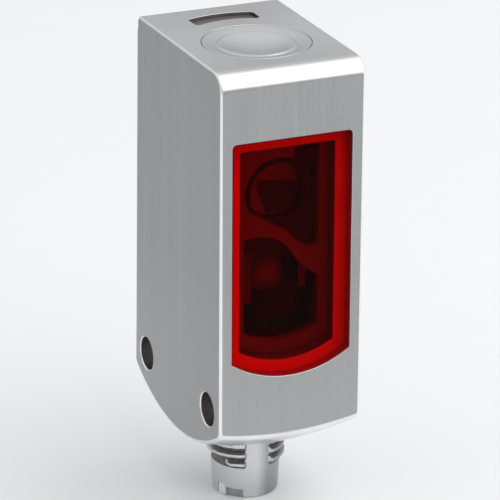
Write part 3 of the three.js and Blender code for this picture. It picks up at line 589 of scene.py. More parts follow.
def smoked_lens():
    """The receiver's lens: nearly black, with a soft lighter patch painted on it as painted light where
    the lit diode behind it would show.
    """
    material, tree, shader = new_material("smoked_lens", Specular_Tint=(0.05, 0.05, 0.05))
    place = tree.nodes.new("ShaderNodeNewGeometry")
    away = tree.nodes.new("ShaderNodeVectorMath")
    away.operation = "DISTANCE"
    tree.links.new(place.outputs["Position"], away.inputs[0])
    height = receiver_high.z - 1.5 * MM
    away.inputs[1].default_value = (MIDDLE_X - 1.1 * MM, receiver_low.y, height)
    wave = noise(tree, (500, 500, 900), detail=2, low=-0.4, high=0.4)
    reach = math_node(tree, "ADD", away.outputs["Value"], math_node(tree, "MULTIPLY", wave, MM))
    # painted light: the lighter patch where the lit diode would show
    painted_diode_glow = ranged(tree, reach, 2.2 * MM, 0.6 * MM)
    grain = noise(tree, 3000, detail=2)
    glass = mixed(tree, grain, (0.001, 0.001, 0.001), (0.002, 0.002, 0.002))
    feed(tree, mixed(tree, painted_diode_glow, glass, (0.075, 0.06, 0.06)), shader.inputs["Base Color"])
    feed(tree, noise(tree, 900, low=0.08, high=0.16), shader.inputs["Roughness"])
    return material


METALS = {
    # painted highlight for the small flat on the plug
    "flat_painted_highlight": ((0.88, 0.88, 0.885), (0.94, 0.94, 0.945), 0.2),
    # painted shade for the thread grooves
    "groove_painted_shade": ((0.15, 0.145, 0.145), (0.22, 0.215, 0.215), 0.5),
    # painted shade for the connector notch's floor
    "notch_painted_shade": ((0.36, 0.36, 0.365), (0.42, 0.42, 0.425), 0.5),
    "small_steel": ((0.42, 0.42, 0.43), (0.56, 0.56, 0.57), 0.28),
    # painted shade for the walls of recesses in the shell
    "recess_painted_shade": ((0.20, 0.18, 0.18), (0.27, 0.245, 0.245), 0.45),
    # painted shade for the walls of the inner room
    "inner_painted_shade": ((0.012, 0.011, 0.011), (0.02, 0.019, 0.019), 0.5),
    "gold_contact": ((0.78, 0.55, 0.22), (0.9, 0.68, 0.32), 0.2),
}
PLASTICS = {
    "pane_edge": ((0.30, 0.004, 0.002), (0.40, 0.006, 0.003), 0.4, 0.2),
    "smoked_pane": ((0.075, 0.062, 0.064), (0.11, 0.09, 0.094), 0.3, 0.3),
    "pale_seal": ((0.60, 0.58, 0.55), (0.70, 0.68, 0.65), 0.55, 0.4),
    "grey_plastic": ((0.085, 0.078, 0.078), (0.11, 0.10, 0.10), 0.5, 0.15),
    # painted highlight: lighter plastic for the strips beside the receiver lens
    "bevel_glint_plastic": ((0.035, 0.033, 0.033), (0.05, 0.047, 0.047), 0.4, 0.15),
    "black_plastic": ((0.008, 0.008, 0.008), (0.016, 0.016, 0.016), 0.5, 0.1),
    "pale_plastic": ((0.6, 0.58, 0.52), (0.74, 0.72, 0.66), 0.45),
    "lamp_body": ((0.66, 0.66, 0.6), (0.82, 0.82, 0.76), 0.25),
    "chip_black": ((0.02, 0.02, 0.024), (0.05, 0.05, 0.055), 0.6),
    "ceramic": ((0.36, 0.26, 0.16), (0.5, 0.39, 0.26), 0.45),
    "circuit_board": ((0.012, 0.09, 0.035), (0.03, 0.15, 0.06), 0.3),
    "amber_film": ((0.42, 0.17, 0.03), (0.56, 0.26, 0.05), 0.25),
    "black_rubber": ((0.012, 0.012, 0.012), (0.028, 0.028, 0.028), 0.7),
    "brown_lead": ((0.12, 0.05, 0.02), (0.17, 0.08, 0.04), 0.5),
    "white_lead": ((0.68, 0.67, 0.63), (0.8, 0.79, 0.75), 0.5),
    "blue_lead": ((0.015, 0.06, 0.26), (0.03, 0.1, 0.36), 0.5),
    "black_lead": ((0.015, 0.015, 0.015), (0.03, 0.03, 0.03), 0.5),
}
MATERIALS = {
    "brushed_shell": brushed_shell(),
    "satin_steel": satin_steel(),
    "turned_steel": turned_steel(),
    "red_pane": see_through("red_pane", (0.90, 0.004, 0.002), (0.94, 0.007, 0.003), 0.01, glare=0.02),
    "clear_lens": see_through(
        "clear_lens", (0.93, 0.95, 0.95), (0.97, 0.98, 0.98), 0.01, 1.53, glare=0.08
    ),
    "smoked_lens": smoked_lens(),
}
for name, look in METALS.items():
    MATERIALS[name] = metal(name, *look)
for name, look in PLASTICS.items():
    MATERIALS[name] = plastic(name, *look)

# -------------------- housing


def side_outline():
    """Points of the side view with their outward normals."""
    arc_centre = (0, FOOT_LOW + FOOT_RADIUS)
    foot_y = BACK - FOOT_FILLET
    foot_z = arc_centre[1] - math.sqrt((FOOT_RADIUS - FOOT_FILLET) ** 2 - foot_y**2)
    tilt = math.degrees(math.atan2(foot_y, arc_centre[1] - foot_z))
    rear = (BACK - TOP_REAR_FILLET, TOP - TOP_REAR_FILLET)
    front = (FRONT + TOP_FRONT_FILLET, TOP - TOP_FRONT_FILLET)
    stretches = (
        (arc_centre, FOOT_RADIUS, -90 - tilt, -90 + tilt, 48),
        ((foot_y, foot_z), FOOT_FILLET, -90 + tilt, 0, 10),
        (rear, TOP_REAR_FILLET, 0, 90, 12),
        (front, TOP_FRONT_FILLET, 90, 180, 12),
        ((-foot_y, foot_z), FOOT_FILLET, 180, 270 - tilt, 10),
    )
    points = []
    for centre, radius, start, end, steps in stretches:
        flat_before = start % 90 == 0
        flat_after = end % 90 == 0
        curve = arc(centre, radius, start, end, steps)
        normals = arc((0, 0), 1, start, end, steps)
        if flat_before:
            along = Vector((math.sin(math.radians(start)), -math.cos(math.radians(start))))
            curve.insert(0, tuple(Vector(curve[0]) + along * SUPPORT))
            normals.insert(0, normals[0])
        if flat_after:
            along = Vector((-math.sin(math.radians(end)), math.cos(math.radians(end))))
            curve.append(tuple(Vector(curve[-1]) + along * SUPPORT))
            normals.append(normals[-1])
        skip = 1 if points and not flat_before else 0
        points += list(zip(curve, normals))[skip:]
    return points[:-1]


def shell_ring(x, share, extra=0.0):
    """The side outline at one station across the width.

    share is the share of the edge round that is passed, from 0 on the side face to 1 where the
    full outline is reached, and extra draws the outline further in.
    """
    angle = math.pi / 2 * share
    ring = []
    for (y, z), (normal_y, normal_z) in side_outline():
        low = eased((FOOT_ROUND_STARTS - z) / FOOT_ROUND_SPREAD)
        rear = eased(normal_y * 1.6 - 0.3) * (1 - low)
        edge = EDGE_ROUND + (FOOT_EDGE_ROUND - EDGE_ROUND) * low
        edge += (REAR_EDGE_ROUND - EDGE_ROUND) * rear
        inset = edge * (1 - math.sin(angle)) + extra
        across = x
        if abs(x) == HALF_WIDTH:
            across = math.copysign(HALF_WIDTH - edge * (1 - math.cos(angle)), x)
        y -= normal_y * inset
        z -= normal_z * inset
        bow = FOOT_CROWN * (1 - (across / HALF_WIDTH) ** 2)
        depth = (CROWN_STARTS_AT - z) / (CROWN_STARTS_AT - CROWN_FULL_AT)
        ring.append((MIDDLE_X + across, y, z - bow * max(depth, 0)))
    return ring


def shell_body():
    edge_steps = 6
    inner = HALF_WIDTH - REAR_EDGE_ROUND - SUPPORT
    rings = [shell_ring(-HALF_WIDTH, 0, SUPPORT)]
    rings += [shell_ring(-HALF_WIDTH, i / edge_steps) for i in range(edge_steps + 1)]
    columns = 14
    rings += [shell_ring(-inner + 2 * inner * i / columns, 1) for i in range(columns + 1)]
    rings += [shell_ring(HALF_WIDTH, 1)]
    rings += [shell_ring(HALF_WIDTH, i / edge_steps) for i in range(edge_steps - 1, -1, -1)]
    rings += [shell_ring(HALF_WIDTH, 0, SUPPORT)]
    return rings


def in_recess(centre):
    """Whether a point lies inside a cross hole, the slot, the button's pocket or the window's recess."""
    x, y, z = centre.x - MIDDLE_X, centre.y, centre.z
    edge = MOUTH_ROUND
    if math.hypot(abs(y) - HOLE_Y, z) < SINK_RADIUS + SINK_MOUTH / 4:
        return True
    from_button = math.hypot(x, y - BUTTON_Y)
    if TOP - edge > z > ROOM_TOP:
        in_slot = y > 0 and SLOT_INNER - edge < from_button < SLOT_OUTER + edge
        return from_button < POCKET_RADIUS + edge or (in_slot and abs(x) < SLOT_HALF_LENGTH + edge)
    below = math.hypot(x, z - WINDOW_ARC_CENTRE) < WINDOW_ARC_RADIUS + edge or z > WINDOW_ARC_CENTRE
    in_window = below and z < WINDOW_TOP + edge and abs(x) < WINDOW_HALF_WIDTH + edge
    return FRONT + edge < y < ROOM_FRONT and in_window


def in_room(centre):
    """Whether a point lies on the walls of the inner room or in the window's opening to it."""
    x, y, z = centre.x - MIDDLE_X, centre.y, centre.z
    edge = MOUTH_ROUND
    behind_pane = LEDGE_FRONT + edge < y < ROOM_BACK + edge
    between = abs(x) < ROOM_HALF_WIDTH + edge and ROOM_SHELF < z + edge < ROOM_TOP
    return behind_pane and between


def box_cutter(x, y, z, corner):
    outline = fillet(rectangle(y[0], y[1], z[0], z[1]), corner, 3)
    return loft("cutter", levels_x([(x[0], outline), (x[1], outline)]))


def housing():
    body = loft("sensor_shell", shell_body(), MATERIALS["brushed_shell"])
    flat = bmesh.new()
    flat.from_mesh(body.data)
    bmesh.ops.dissolve_limit(
        flat, angle_limit=math.radians(0.05), verts=flat.verts, edges=flat.edges
    )
    flat.to_mesh(body.data)
    flat.free()

    across = (-ROOM_HALF_WIDTH, ROOM_HALF_WIDTH)
    room = box_cutter(across, (ROOM_FRONT, ROOM_BACK), (ROOM_SHELF, ROOM_TOP), ROOM_CORNER)
    post = [(0, BOSS_END), (BOSS_RADIUS, BOSS_END), (BOSS_RADIUS, TOP), (0, TOP)]
    boss = lathe("cutter", post, centre=(0, BUTTON_Y), segments=48)
    carve(room, boss)
    well_height = (WELL_FLOOR, ROOM_SHELF + 2 * MM)
    well = box_cutter(across, (-WELL_HALF_DEPTH, WELL_HALF_DEPTH), well_height, WELL_CORNER)
    window = loft("cutter", levels_y(mouth(window_outline, FRONT, -1, LEDGE_FRONT)))
    opening = window_outline(LEDGE_WIDTH, APERTURE_CORNER)
    aperture = loft("cutter", levels_y([(y, opening) for y in (FRONT - MM, ROOM_FRONT + MM)]))
    slot = loft("cutter", levels_z(mouth(slot_outline, TOP, 1, ROOM_TOP - MM, FINE_MOUTH)))

    def pocket_circle(inset):
        return circle((0, BUTTON_Y), POCKET_RADIUS - inset, 128)

    pocket = loft("cutter", levels_z(mouth(pocket_circle, TOP, 1, POCKET_FLOOR, FINE_MOUTH)))
    low = BOSS_END - MM
    stem_profile = [(0, low), (STEM_BORE, low), (STEM_BORE, TOP), (0, TOP)]
    stem_bore = lathe("cutter", stem_profile, centre=(0, BUTTON_Y), segments=48)
    low, high = FOOT_LOW - 3 * MM, WELL_FLOOR + MM
    plug_bore = lathe("cutter", [(0, low), (PLUG_BORE, low), (PLUG_BORE, high), (0, high)])
    cutters = [room, well, window, aperture, slot, pocket, stem_bore, plug_bore]
    for y in (-HOLE_Y, HOLE_Y):
        wide = SINK_RADIUS + SINK_MOUTH
        profile = [(0, -HALF_WIDTH - MM), (wide, -HALF_WIDTH - MM), (wide, -HALF_WIDTH)]
        profile += [
            (SINK_RADIUS, SINK_MOUTH - HALF_WIDTH),
            (SINK_RADIUS, SINK_DEPTH - HALF_WIDTH),
            (HOLE_RADIUS, SINK_DEPTH + SINK_CONE - HALF_WIDTH),
        ]
        mirrored = [(radius, -along) for radius, along in reversed(profile)]
        cutters.append(lathe("cutter", profile + mirrored, axis="x", centre=(y, 0), segments=72))
    carve(body, *cutters)
    # painted shade: walls of the cross holes, slot, button pocket and window recess get a darker steel
    body.data.materials.append(MATERIALS["recess_painted_shade"])
    # painted shade: the inner room's walls get a nearly black steel
    body.data.materials.append(MATERIALS["inner_painted_shade"])
    for polygon in body.data.polygons:
        polygon.material_index = int(in_recess(polygon.center))
        if in_room(polygon.center):
            polygon.material_index = 2
    smooth(body)
    even_shading(body)
    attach(body, "body")
    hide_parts("housing")
    return body


housing()

# -------------------- window and optics


def soft_plate(name, outline, front, back, radius, material, side_material=None):
    """A plate across Y with a rounded front edge and, if given, its own material on its sides."""
    levels = [(front + depth, outline(inset)) for inset, depth in quarter_round(radius, 3)]
    levels += [(back, outline(0))]
    piece = loft(name, levels_y(levels), material)
    if side_material is not None:
        piece.data.materials.append(side_material)
        for polygon in piece.data.polygons:
            if abs(polygon.normal.y) < 0.1:
                polygon.material_index = 1
    even_shading(piece)
    return piece


def front_window():
    def outline(inset):
        return window_outline(WINDOW_GAP + inset)

    pane = soft_plate(
        "red_window",
        outline,
        pane_low.y,
        pane_high.y,
        0.08 * MM,
        MATERIALS["red_pane"],
        MATERIALS["pane_edge"],
    )
    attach(pane, "body")
    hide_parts("front_window")


SEAL_INSET = 0.06 * MM


def window_seal():
    """A flat gasket round the window with a thin lip that reaches back to the mask."""
    outer = window_outline(SEAL_INSET)
    face = window_outline(LEDGE_WIDTH + 0.02 * MM, MASK_CORNER)
    lip = window_outline(LEDGE_WIDTH + 0.07 * MM, MASK_CORNER)
    lip_end = mask_low.y - 0.02 * MM
    levels = [
        (seal_low.y, outer),
        (seal_high.y, outer),
        (seal_high.y, face),
        (lip_end, face),
        (lip_end, lip),
        (seal_low.y, lip),
    ]
    bead = loft("window_bead", levels_y(levels), MATERIALS["pale_seal"], closed=True)
    bead.data.materials.append(MATERIALS["grey_plastic"])
    for polygon in bead.data.polygons:
        polygon.material_index = int(polygon.center.y > seal_high.y)
    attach(bead, "body")
    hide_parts("window_seal")


OPENING_HALF_WIDTH = 4 * MM
OPENING_TOP = TOP - 8.95 * MM
LENS_HEIGHT = (lens_low.z + lens_high.z) / 2
LENS_RADIUS = (lens_high.x - lens_low.x) / 2
SURROUND_RADIUS = LENS_RADIUS + 0.55 * MM
SURROUND_CENTRE = (-0.35 * MM, LENS_HEIGHT + 0.4 * MM)
OPENING_ARC_RADIUS = 8.2 * MM
MASK_INSET = LEDGE_WIDTH + 0.08 * MM
# Points the divider's two edges flow through, in millimetres across and above the top.
DIVIDER_UPPER_EDGE = (
    (-3.55, -15.1), (-1.3, -16.65), (0.5, -17.6), (1.75, -18.9), (3, -19.6), (4, -19.55)
)
DIVIDER_LOWER_EDGE = ((-4, -18.05), (-1.8, -18), (0.3, -19), (2.15, -21.4), (4, -22.8))


def flowing(points, steps=8):
    """A smooth line through points given in millimetres across and above the top."""
    through = [Vector((x * MM, TOP + rise * MM)) for x, rise in points]
    line = []
    for i in range(len(through) - 1):
        before = through[max(i - 1, 0)]
        after = through[min(i + 2, len(through) - 1)]
        start, end = through[i], through[i + 1]
        square = 2 * before - 5 * start + 4 * end - after
        cube = 3 * start - before - 3 * end + after
        for k in range(steps):
            t = k / steps
            point = 0.5 * (2 * start + (end - before) * t + square * t**2 + cube * t**3)
            line.append(tuple(point))
    return line + [tuple(through[-1])]


def aperture_mask():
    def outline(inset):
        return window_outline(MASK_INSET + inset, MASK_CORNER)

    plate = soft_plate(
        "optics_mask", outline, mask_low.y, mask_high.y, 0.12 * MM, MATERIALS["grey_plastic"]
    )
    emitter = [(OPENING_HALF_WIDTH, OPENING_TOP), (1.3 * MM, OPENING_TOP)]
    emitter += arc(SURROUND_CENTRE, SURROUND_RADIUS, 63, 204, 36)
    emitter += flowing(DIVIDER_UPPER_EDGE)
    spread = math.degrees(math.asin(OPENING_HALF_WIDTH / OPENING_ARC_RADIUS))
    receiver = arc(
        (0, WINDOW_ARC_CENTRE), OPENING_ARC_RADIUS, -90 - spread, spread - 90, 24
    ) + flowing(DIVIDER_LOWER_EDGE)[::-1]
    cutters = []
    for opening in (emitter, receiver):
        levels = [(mask_low.y - MM, opening), (mask_high.y + MM, opening)]
        cutters.append(loft("cutter", levels_y(levels)))
    carve(plate, *cutters)
    smooth(plate)
    edges = plate.modifiers.new("edges", "BEVEL")
    edges.width = 0.06 * MM
    edges.segments = 2
    edges.limit_method = "ANGLE"
    even_shading(plate)
    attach(plate, "body")
    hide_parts("aperture_mask")


def emitter_lens():
    rim = -6 * MM
    sag = rim - lens_low.y
    dome = (LENS_RADIUS**2 + sag**2) / (2 * sag)
    half = math.asin(LENS_RADIUS / dome)
    profile = []
    for i in range(25):
        angle = half * i / 24
        profile.append((dome * math.sin(angle), lens_low.y + dome * (1 - math.cos(angle))))
    profile += [(LENS_RADIUS, lens_high.y), (0, lens_high.y)]
    lens = lathe("emitter_dome", profile, "y", (0, LENS_HEIGHT), 96, MATERIALS["clear_lens"])
    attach(lens, "body")
    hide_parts("emitter_lens")


def emitter_shade():
    """A blind right behind the lens that covers its upper and left parts."""
    radius = LENS_RADIUS - 0.15 * MM
    outline = arc((0, LENS_HEIGHT), radius, 3, 262, 48)
    edge = ((-0.6, -1.7), (-1.1, -0.5), (-1.35, 0.4), (-1.2, 0.75))
    outline += [(x * MM, LENS_HEIGHT + z * MM) for x, z in edge]
    levels = [(lens_high.y + 0.05 * MM, outline), (lens_high.y + 0.25 * MM, outline)]
    shade = loft("emitter_blind", levels_y(levels), MATERIALS["grey_plastic"])
    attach(shade, "body")


def receiver_lens():
    half = (receiver_high.x - receiver_low.x) / 2
    height = (receiver_low.z + receiver_high.z) / 2
    curve = 9 * MM
    square = fillet(rectangle(-half, half, -half, half), 0.4 * MM, 4)
    edge = []
    for i, start in enumerate(square):
        end = square[(i + 1) % len(square)]
        cuts = 10 if (Vector(start) - Vector(end)).length > MM else 1
        edge += [tuple(Vector(start).lerp(Vector(end), k / cuts)) for k in range(cuts)]
    rings = [[(MIDDLE_X, receiver_low.y, height)]]
    for i in range(1, 15):
        share = i / 14
        ring = []
        for x, z in edge:
            bulge = curve - math.sqrt(curve**2 - (x * share) ** 2 - (z * share) ** 2)
            ring.append((MIDDLE_X + x * share, receiver_low.y + bulge, height + z * share))
        rings.append(ring)
    rings.append([(MIDDLE_X + x, receiver_high.y, height + z) for x, z in edge])
    lens = loft("receiver_block", rings, MATERIALS["smoked_lens"])
    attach(lens, "body")
    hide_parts("receiver_lens")


def receiver_bevel_glints():
    """Two lighter strips in front of the receiver lens: painted highlights that stand for the lens's lit
    bevel edges.
    """
    # painted highlight: lighter strips where the lens's bevel edges catch light
    glint_strips = (
        ("bevel_glint_left", -3.35, -19.7, -24.9, 0.75),
        ("bevel_glint_right", 2.5, -21.2, -23.9, 0.7),
    )
    for name, x, top, bottom, width in glint_strips:
        half = width * MM / 2
        middle = x * MM
        outline = fillet(
            rectangle(middle - half, middle + half, TOP + bottom * MM, TOP + top * MM), 0.2 * MM, 4
        )
        glint_strip = loft(
            name,
            levels_y([(mask_high.y - 0.25 * MM, outline), (mask_high.y, outline)]),
            MATERIALS["bevel_glint_plastic"],
        )
        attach(glint_strip, "body")


front_window()
window_seal()
aperture_mask()
emitter_lens()
emitter_shade()
receiver_lens()
receiver_bevel_glints()

# -------------------- button and indicator

DISH_RADIUS = 5.15 * MM
DISH_FLOOR = TOP - 0.28 * MM
BOWL_RADIUS = 3.7 * MM
BOWL_EDGE = TOP - 0.17 * MM
BOWL_DEPTH = 0.72 * MM


def button_cap():
    groove = STEM_RADIUS - 0.45 * MM
    seal = TOP - 3.1 * MM
    seal_half = 0.28 * MM
    clip_top = BOSS_END
    clip_bottom = BOSS_END - 0.34 * MM
    underside = TOP - 1.5 * MM
    stem = [
        (STEM_RADIUS, cap_low.z),
        (STEM_RADIUS, clip_bottom),
        (groove, clip_bottom),
        (groove, clip_top),
        (STEM_RADIUS, clip_top),
        (STEM_RADIUS, seal - seal_half),
        (groove, seal - seal_half),
        (groove, seal + seal_half),
        (STEM_RADIUS, seal + seal_half),
        (STEM_RADIUS, underside),
        (BUTTON_RADIUS, underside),
    ]
    profile = [(0, cap_low.z)] + fillet(stem, 0.05 * MM, 3, closed=False)
    round_off = 0.03 * MM
    profile += arc((BUTTON_RADIUS - round_off, TOP - round_off), round_off, 0, 90, 5)
    dish = [
        (DISH_RADIUS, TOP),
        (BOWL_RADIUS + 0.3 * MM, DISH_FLOOR),
        (BOWL_RADIUS + 0.14 * MM, BOWL_EDGE),
        (BOWL_RADIUS, BOWL_EDGE),
    ]
    profile += fillet(dish, 0.3 * MM, 6, closed=False)
    bottom = TOP - BOWL_DEPTH
    for i in range(1, 15):
        share = 1 - i / 14
        profile.append((BOWL_RADIUS * share, bottom + (BOWL_EDGE - bottom) * share**2))
    cap = lathe(
        "teach_button", profile, centre=(0, BUTTON_Y), segments=160, material=MATERIALS["satin_steel"]
    )
    even_shading(cap)
    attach(cap, "button")
    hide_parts("button_cap")


def indicator_window():
    def outline(inset):
        return slot_outline(0.05 * MM + inset)

    foot_top = ROOM_TOP - 0.05 * MM
    head_top = slot_high.z - 0.12 * MM
    edge = quarter_round(0.06 * MM, 3)
    head_levels = [(head_top - depth, outline(inset)) for inset, depth in edge]
    head_levels += [(foot_top - 0.5 * MM, outline(0))]
    guide = loft("indicator_glass", levels_z(head_levels), MATERIALS["smoked_pane"])
    half = (slot_high.x - slot_low.x) / 2
    foot = fillet(rectangle(-half, half, slot_low.y, slot_high.y), 0.4 * MM, 6)
    base = loft("cutter", levels_z([(slot_low.z, foot), (foot_top, foot)]))
    carve(guide, base, operation="UNION")
    smooth(guide)
    even_shading(guide)
    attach(guide, "body")
    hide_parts("indicator_window")


button_cap()
indicator_window()

# -------------------- plug

THREAD_PITCH = 1 * MM
THREAD_LOW = -9 * MM
THREAD_START = -62
THREAD_ROOT = 3.42 * MM
THREAD_FOOT_HALF = 0.4 * MM
THREAD_CREST_HALF = 0.14 * MM
GAP_MIDDLE = -1.5
GAP_HALF = 21.5
COLLAR_END = -6.75 * MM
BARREL_TOP = -9.45 * MM
BARREL_TOP_RADIUS = 3.53 * MM
BARREL_END_RADIUS = 3.33 * MM
SOCKET_RADIUS = 2.75 * MM
SHELL_BORE = 3.2 * MM
SHELL_SHOULDER = -6 * MM
RING_LOW = -4.2 * MM
RING_HIGH = -3.6 * MM
RING_DEPTH = 0.5 * MM
ZONE_TOP = -5.4 * MM
NOTCH_DIRECTION = -42
FLAT_DIRECTION = -69
FLAT_WIDTH = 1 * MM
FLAT_HEIGHT = 1.3 * MM
FLAT_DEPTH = 0.05 * MM
NOTCH_WIDTH = 1.8 * MM
NOTCH_HEIGHT = 1 * MM
NOTCH_DEPTH = 0.3 * MM


def thread_radius(direction, height):
    """Radius of the plug at a direction in degrees from the front and a height in the threaded zone."""
    from_gap = abs((direction - GAP_MIDDLE + 180) % 360 - 180)
    turn = (direction - THREAD_START) % 360 / 360
    best = 0.0
    for k in (0, 1, 2, 3):
        crest = THREAD_LOW + THREAD_PITCH * (turn + k)
        away = abs(height - crest)
        stands = (THREAD_FOOT_HALF - away) / (THREAD_FOOT_HALF - THREAD_CREST_HALF)
        run_in = eased((turn + k) / 0.05) if k < 1 else 1
        best = max(best, min(max(stands, 0), 1) * run_in)
    collar = min(max((height - COLLAR_END) / (0.15 * MM) + 1, 0), 1)
    best = max(best, collar)
    threaded = THREAD_ROOT + (PLUG_RADIUS - THREAD_ROOT) * best
    slope = min(max((height - BARREL_TOP) / (0.1 * MM), 0), 1)
    threaded = BARREL_TOP_RADIUS + (threaded - BARREL_TOP_RADIUS) * (slope if best < 0.01 else 1)
    open_side = eased((GAP_HALF + 1.5 - from_gap) / 3)
    return threaded + (BARREL_TOP_RADIUS - threaded) * open_side


def direction_from(azimuth, elevation):
    a, e = math.radians(azimuth), math.radians(elevation)
    return Vector((math.sin(a) * math.cos(e), -math.cos(a) * math.cos(e), math.sin(e)))


def plug_cutter(direction, width, height, depth):
    """Cuts a flat of a given depth and height into the plug's lower end."""
    face = depth - BARREL_END_RADIUS
    outline = rectangle(-width / 2, width / 2, -PLUG_RADIUS - MM, face)
    bm = loft_mesh(levels_z([(plug_low.z - MM, outline), (plug_low.z + height, outline)]))
    bmesh.ops.rotate(
        bm,
        verts=bm.verts,
        cent=(MIDDLE_X, 0, 0),
        matrix=Matrix.Rotation(math.radians(direction), 3, "Z"),
    )
    return finished("cutter", bm, None)


def connector_shell():
    end = plug_low.z
    flange_top = plug_high.z
    flange_bottom = WELL_FLOOR + 0.02 * MM
    flange_radius = (plug_high.x - plug_low.x) / 2
    segments = 240
    barrel = [(SOCKET_RADIUS, end), (BARREL_END_RADIUS, end), (BARREL_TOP_RADIUS, BARREL_TOP)]
    lower = [(SOCKET_RADIUS, end + 0.12 * MM), (SOCKET_RADIUS + 0.1 * MM, end)]
    lower += fillet(barrel, 0.35 * MM, 8, closed=False)[1:]
    rings = spun("z", (0, 0), lower, segments)
    steps = 90
    for i in range(1, steps + 1):
        height = BARREL_TOP + (ZONE_TOP - BARREL_TOP) * i / steps
        ring = []
        for k in range(segments):
            direction = 360 * k / segments
            radius = thread_radius((direction + 180) % 360 - 180, height)
            angle = math.radians(direction)
            ring.append((MIDDLE_X + radius * math.sin(angle), -radius * math.cos(angle), height))
        rings.append(ring)
    upper = [
        (PLUG_RADIUS, ZONE_TOP + 0.1 * MM),
        (PLUG_RADIUS, RING_LOW),
        (PLUG_RADIUS - RING_DEPTH, RING_LOW),
        (PLUG_RADIUS - RING_DEPTH, RING_HIGH),
        (PLUG_RADIUS, RING_HIGH),
        (PLUG_RADIUS, flange_bottom),
        (flange_radius, flange_bottom),
        (flange_radius, flange_top),
        (SHELL_BORE, flange_top),
        (SHELL_BORE, SHELL_SHOULDER),
        (SOCKET_RADIUS, SHELL_SHOULDER),
    ]
    rings += spun("z", (0, 0), upper, segments)
    shell = loft("plug_shell", rings, MATERIALS["turned_steel"], closed=True)
    notch = plug_cutter(NOTCH_DIRECTION, NOTCH_WIDTH, NOTCH_HEIGHT, NOTCH_DEPTH)
    flat = plug_cutter(FLAT_DIRECTION, FLAT_WIDTH, FLAT_HEIGHT, FLAT_DEPTH)
    carve(shell, notch, flat)
    # Painted shade on the notch's floor and a painted highlight on the flat beside it.
    painted_flats = (
        # painted shade: the notch floor is painted darker
        (NOTCH_DIRECTION, NOTCH_DEPTH, "notch_painted_shade"),
        # painted highlight: the shallow flat is painted bright
        (FLAT_DIRECTION, FLAT_DEPTH, "flat_painted_highlight"),
    )
    for index, (direction, depth, painted_look) in enumerate(painted_flats, 1):
        shell.data.materials.append(MATERIALS[painted_look])
        outwards = direction_from(direction, 0)
        for polygon in shell.data.polygons:
            out = (polygon.center - Vector((MIDDLE_X, 0, 0))).dot(outwards)
            flat_on = polygon.normal.dot(outwards) > 0.999
            if flat_on and abs(out - BARREL_END_RADIUS + depth) < 0.02 * MM:
                polygon.material_index = index
    # painted shade: the thread roots and the downward-facing thread flanks get a darker steel
    shell.data.materials.append(MATERIALS["groove_painted_shade"])
    for polygon in shell.data.polygons:
        x, y, z = polygon.center - Vector((MIDDLE_X, 0, 0))
        radius = math.hypot(x, y)
        in_thread = BARREL_TOP < z < ZONE_TOP and THREAD_ROOT < radius * 1.01
        if in_thread and (radius < THREAD_ROOT + 0.06 * MM or polygon.normal.z < -0.4):
            polygon.material_index = len(painted_flats) + 1
    smooth(shell)
    even_shading(shell)
    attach(shell, "body")
    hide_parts("connector_shell")


def connector_insert():
    low, high = insert_low.z, insert_high.z
    bore = SHELL_BORE - 0.05 * MM
    profile = [
        (SOCKET_RADIUS - 0.05 * MM, low),
        (SOCKET_RADIUS - 0.05 * MM, SHELL_SHOULDER + 0.03 * MM),
        (bore, SHELL_SHOULDER + 0.03 * MM),
        (bore, -5 * MM),
        (bore - 0.55 * MM, -5 * MM),
        (bore - 0.55 * MM, -4.2 * MM),
        (bore, -4.2 * MM),
        (bore, -3.2 * MM),
        (2.3 * MM, -3.2 * MM),
        (2.3 * MM, high),
    ]
    profile = [(0, low)] + fillet(profile, 0.08 * MM, 3, closed=False) + [(0, high)]
    insert = lathe("pin_carrier", profile, material=MATERIALS["black_plastic"])
    bores = []
    for i in range(1, 5):
        pin_low, pin_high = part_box(f"contact_pin_{i}")
        middle = ((pin_low.x + pin_high.x) / 2 - MIDDLE_X, (pin_low.y + pin_high.y) / 2)
        bore = [(0, low - MM), (0.53 * MM, low - MM), (0.53 * MM, high + MM), (0, high + MM)]
        bores.append(lathe("cutter", bore, centre=middle, segments=32))
    carve(insert, *bores)
    smooth(insert)
    even_shading(insert)
    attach(insert, "body")
    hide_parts("connector_insert")


def contact_pin(number):
    pin_low, pin_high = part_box(f"contact_pin_{number}")
    radius = (pin_high.x - pin_low.x) / 2
    centre = ((pin_low.x + pin_high.x) / 2 - MIDDLE_X, (pin_low.y + pin_high.y) / 2)
    profile = [(0, pin_low.z), (0.24 * MM, pin_low.z), (radius, pin_low.z + 0.45 * MM)]
    profile = fillet(profile + [(radius, pin_high.z), (0, pin_high.z)], 0.12 * MM, 5, closed=False)
    pin = lathe(f"pin_{number}", profile, centre=centre, segments=40, material=MATERIALS["gold_contact"])
    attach(pin, "body")
    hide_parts(f"contact_pin_{number}")


connector_shell()
connector_insert()
for number in range(1, 5):
    contact_pin(number)

# -------------------- carried-over pieces

slot_of = {row["node"]: row["material_slot"] for row in frame["record"]["subparts"]}
for node, piece in frame["nodes"].items():
    if piece.hide_render:
        continue
    piece.data.materials.clear()
    piece.data.materials.append(MATERIALS[slot_of[node]])

# -------------------- room, lights and camera

CAMERA_AZIMUTH = -23.756
CAMERA_ELEVATION = 20.923
CAMERA_ROLL = 0.400
CAMERA_DISTANCE = 396.76 * MM
CAMERA_LENS = 284.3
AIM_RIGHT = 0.372 * MM
AIM_UP = 1.487 * MM

object_middle = Vector((MIDDLE_X, (FRONT + BACK) / 2, (TOP + plug_low.z) / 2))


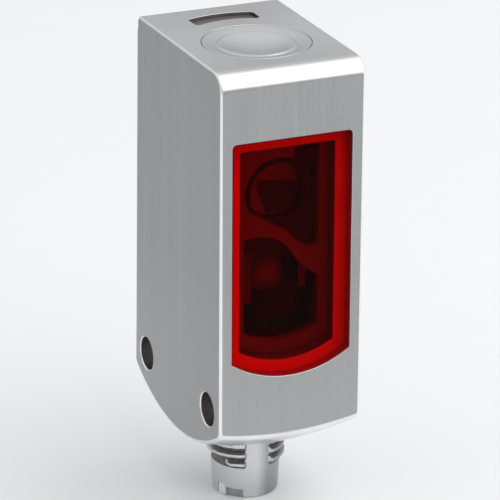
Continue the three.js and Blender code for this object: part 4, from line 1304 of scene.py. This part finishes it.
def add_camera():
    data = bpy.data.cameras.new("camera")
    data.lens = CAMERA_LENS
    data.clip_start = 0.01
    camera = bpy.data.objects.new("camera", data)
    bpy.context.scene.collection.objects.link(camera)
    back = direction_from(CAMERA_AZIMUTH, CAMERA_ELEVATION)
    level = back.to_track_quat("Z", "Y").to_matrix()
    turned = level @ Matrix.Rotation(math.radians(CAMERA_ROLL), 3, "Z")
    aim = object_middle + turned @ Vector((AIM_RIGHT, AIM_UP, 0))
    camera.location = aim + back * CAMERA_DISTANCE
    camera.rotation_euler = turned.to_euler()
    bpy.context.scene.camera = camera


def add_light(name, azimuth, elevation, distance, size, power):
    data = bpy.data.lights.new(name, "AREA")
    data.shape = "RECTANGLE"
    data.size = size
    data.size_y = size
    data.energy = power
    lamp = bpy.data.objects.new(name, data)
    bpy.context.scene.collection.objects.link(lamp)
    back = direction_from(azimuth, elevation)
    lamp.location = object_middle + back * distance
    lamp.rotation_euler = back.to_track_quat("Z", "Y").to_euler()


def add_floor():
    size = 4
    low = plug_low.z
    bm = bmesh.new()
    corners = rectangle(-size, size, -size, size)
    bm.faces.new([bm.verts.new((x, y, low)) for x, y in corners])
    paint = plastic("floor_paint", (0.84, 0.845, 0.85), (0.86, 0.865, 0.87), 0.8)
    floor = finished("floor", bm, paint)


HORIZON_LIGHT = (0.40, 0.405, 0.41)
OVERHEAD_LIGHT = (0.88, 0.885, 0.89)


def add_world():
    """A plain room, dimmer at the horizon than overhead."""
    world = bpy.data.worlds.new("studio")
    world.use_nodes = True
    tree = world.node_tree
    background = tree.nodes["Background"]
    place = tree.nodes.new("ShaderNodeTexCoord")
    split = tree.nodes.new("ShaderNodeSeparateXYZ")
    tree.links.new(place.outputs["Generated"], split.inputs[0])
    height = ranged(tree, split.outputs["Z"], 0, 0.65)
    feed(tree, mixed(tree, height, HORIZON_LIGHT, OVERHEAD_LIGHT), background.inputs["Color"])
    bpy.context.scene.world = world


add_camera()
add_light("key", 45, 42, 0.6, 0.9, 2.8)
add_floor()
add_world()
bpy.context.scene.view_settings.view_transform = "Standard"
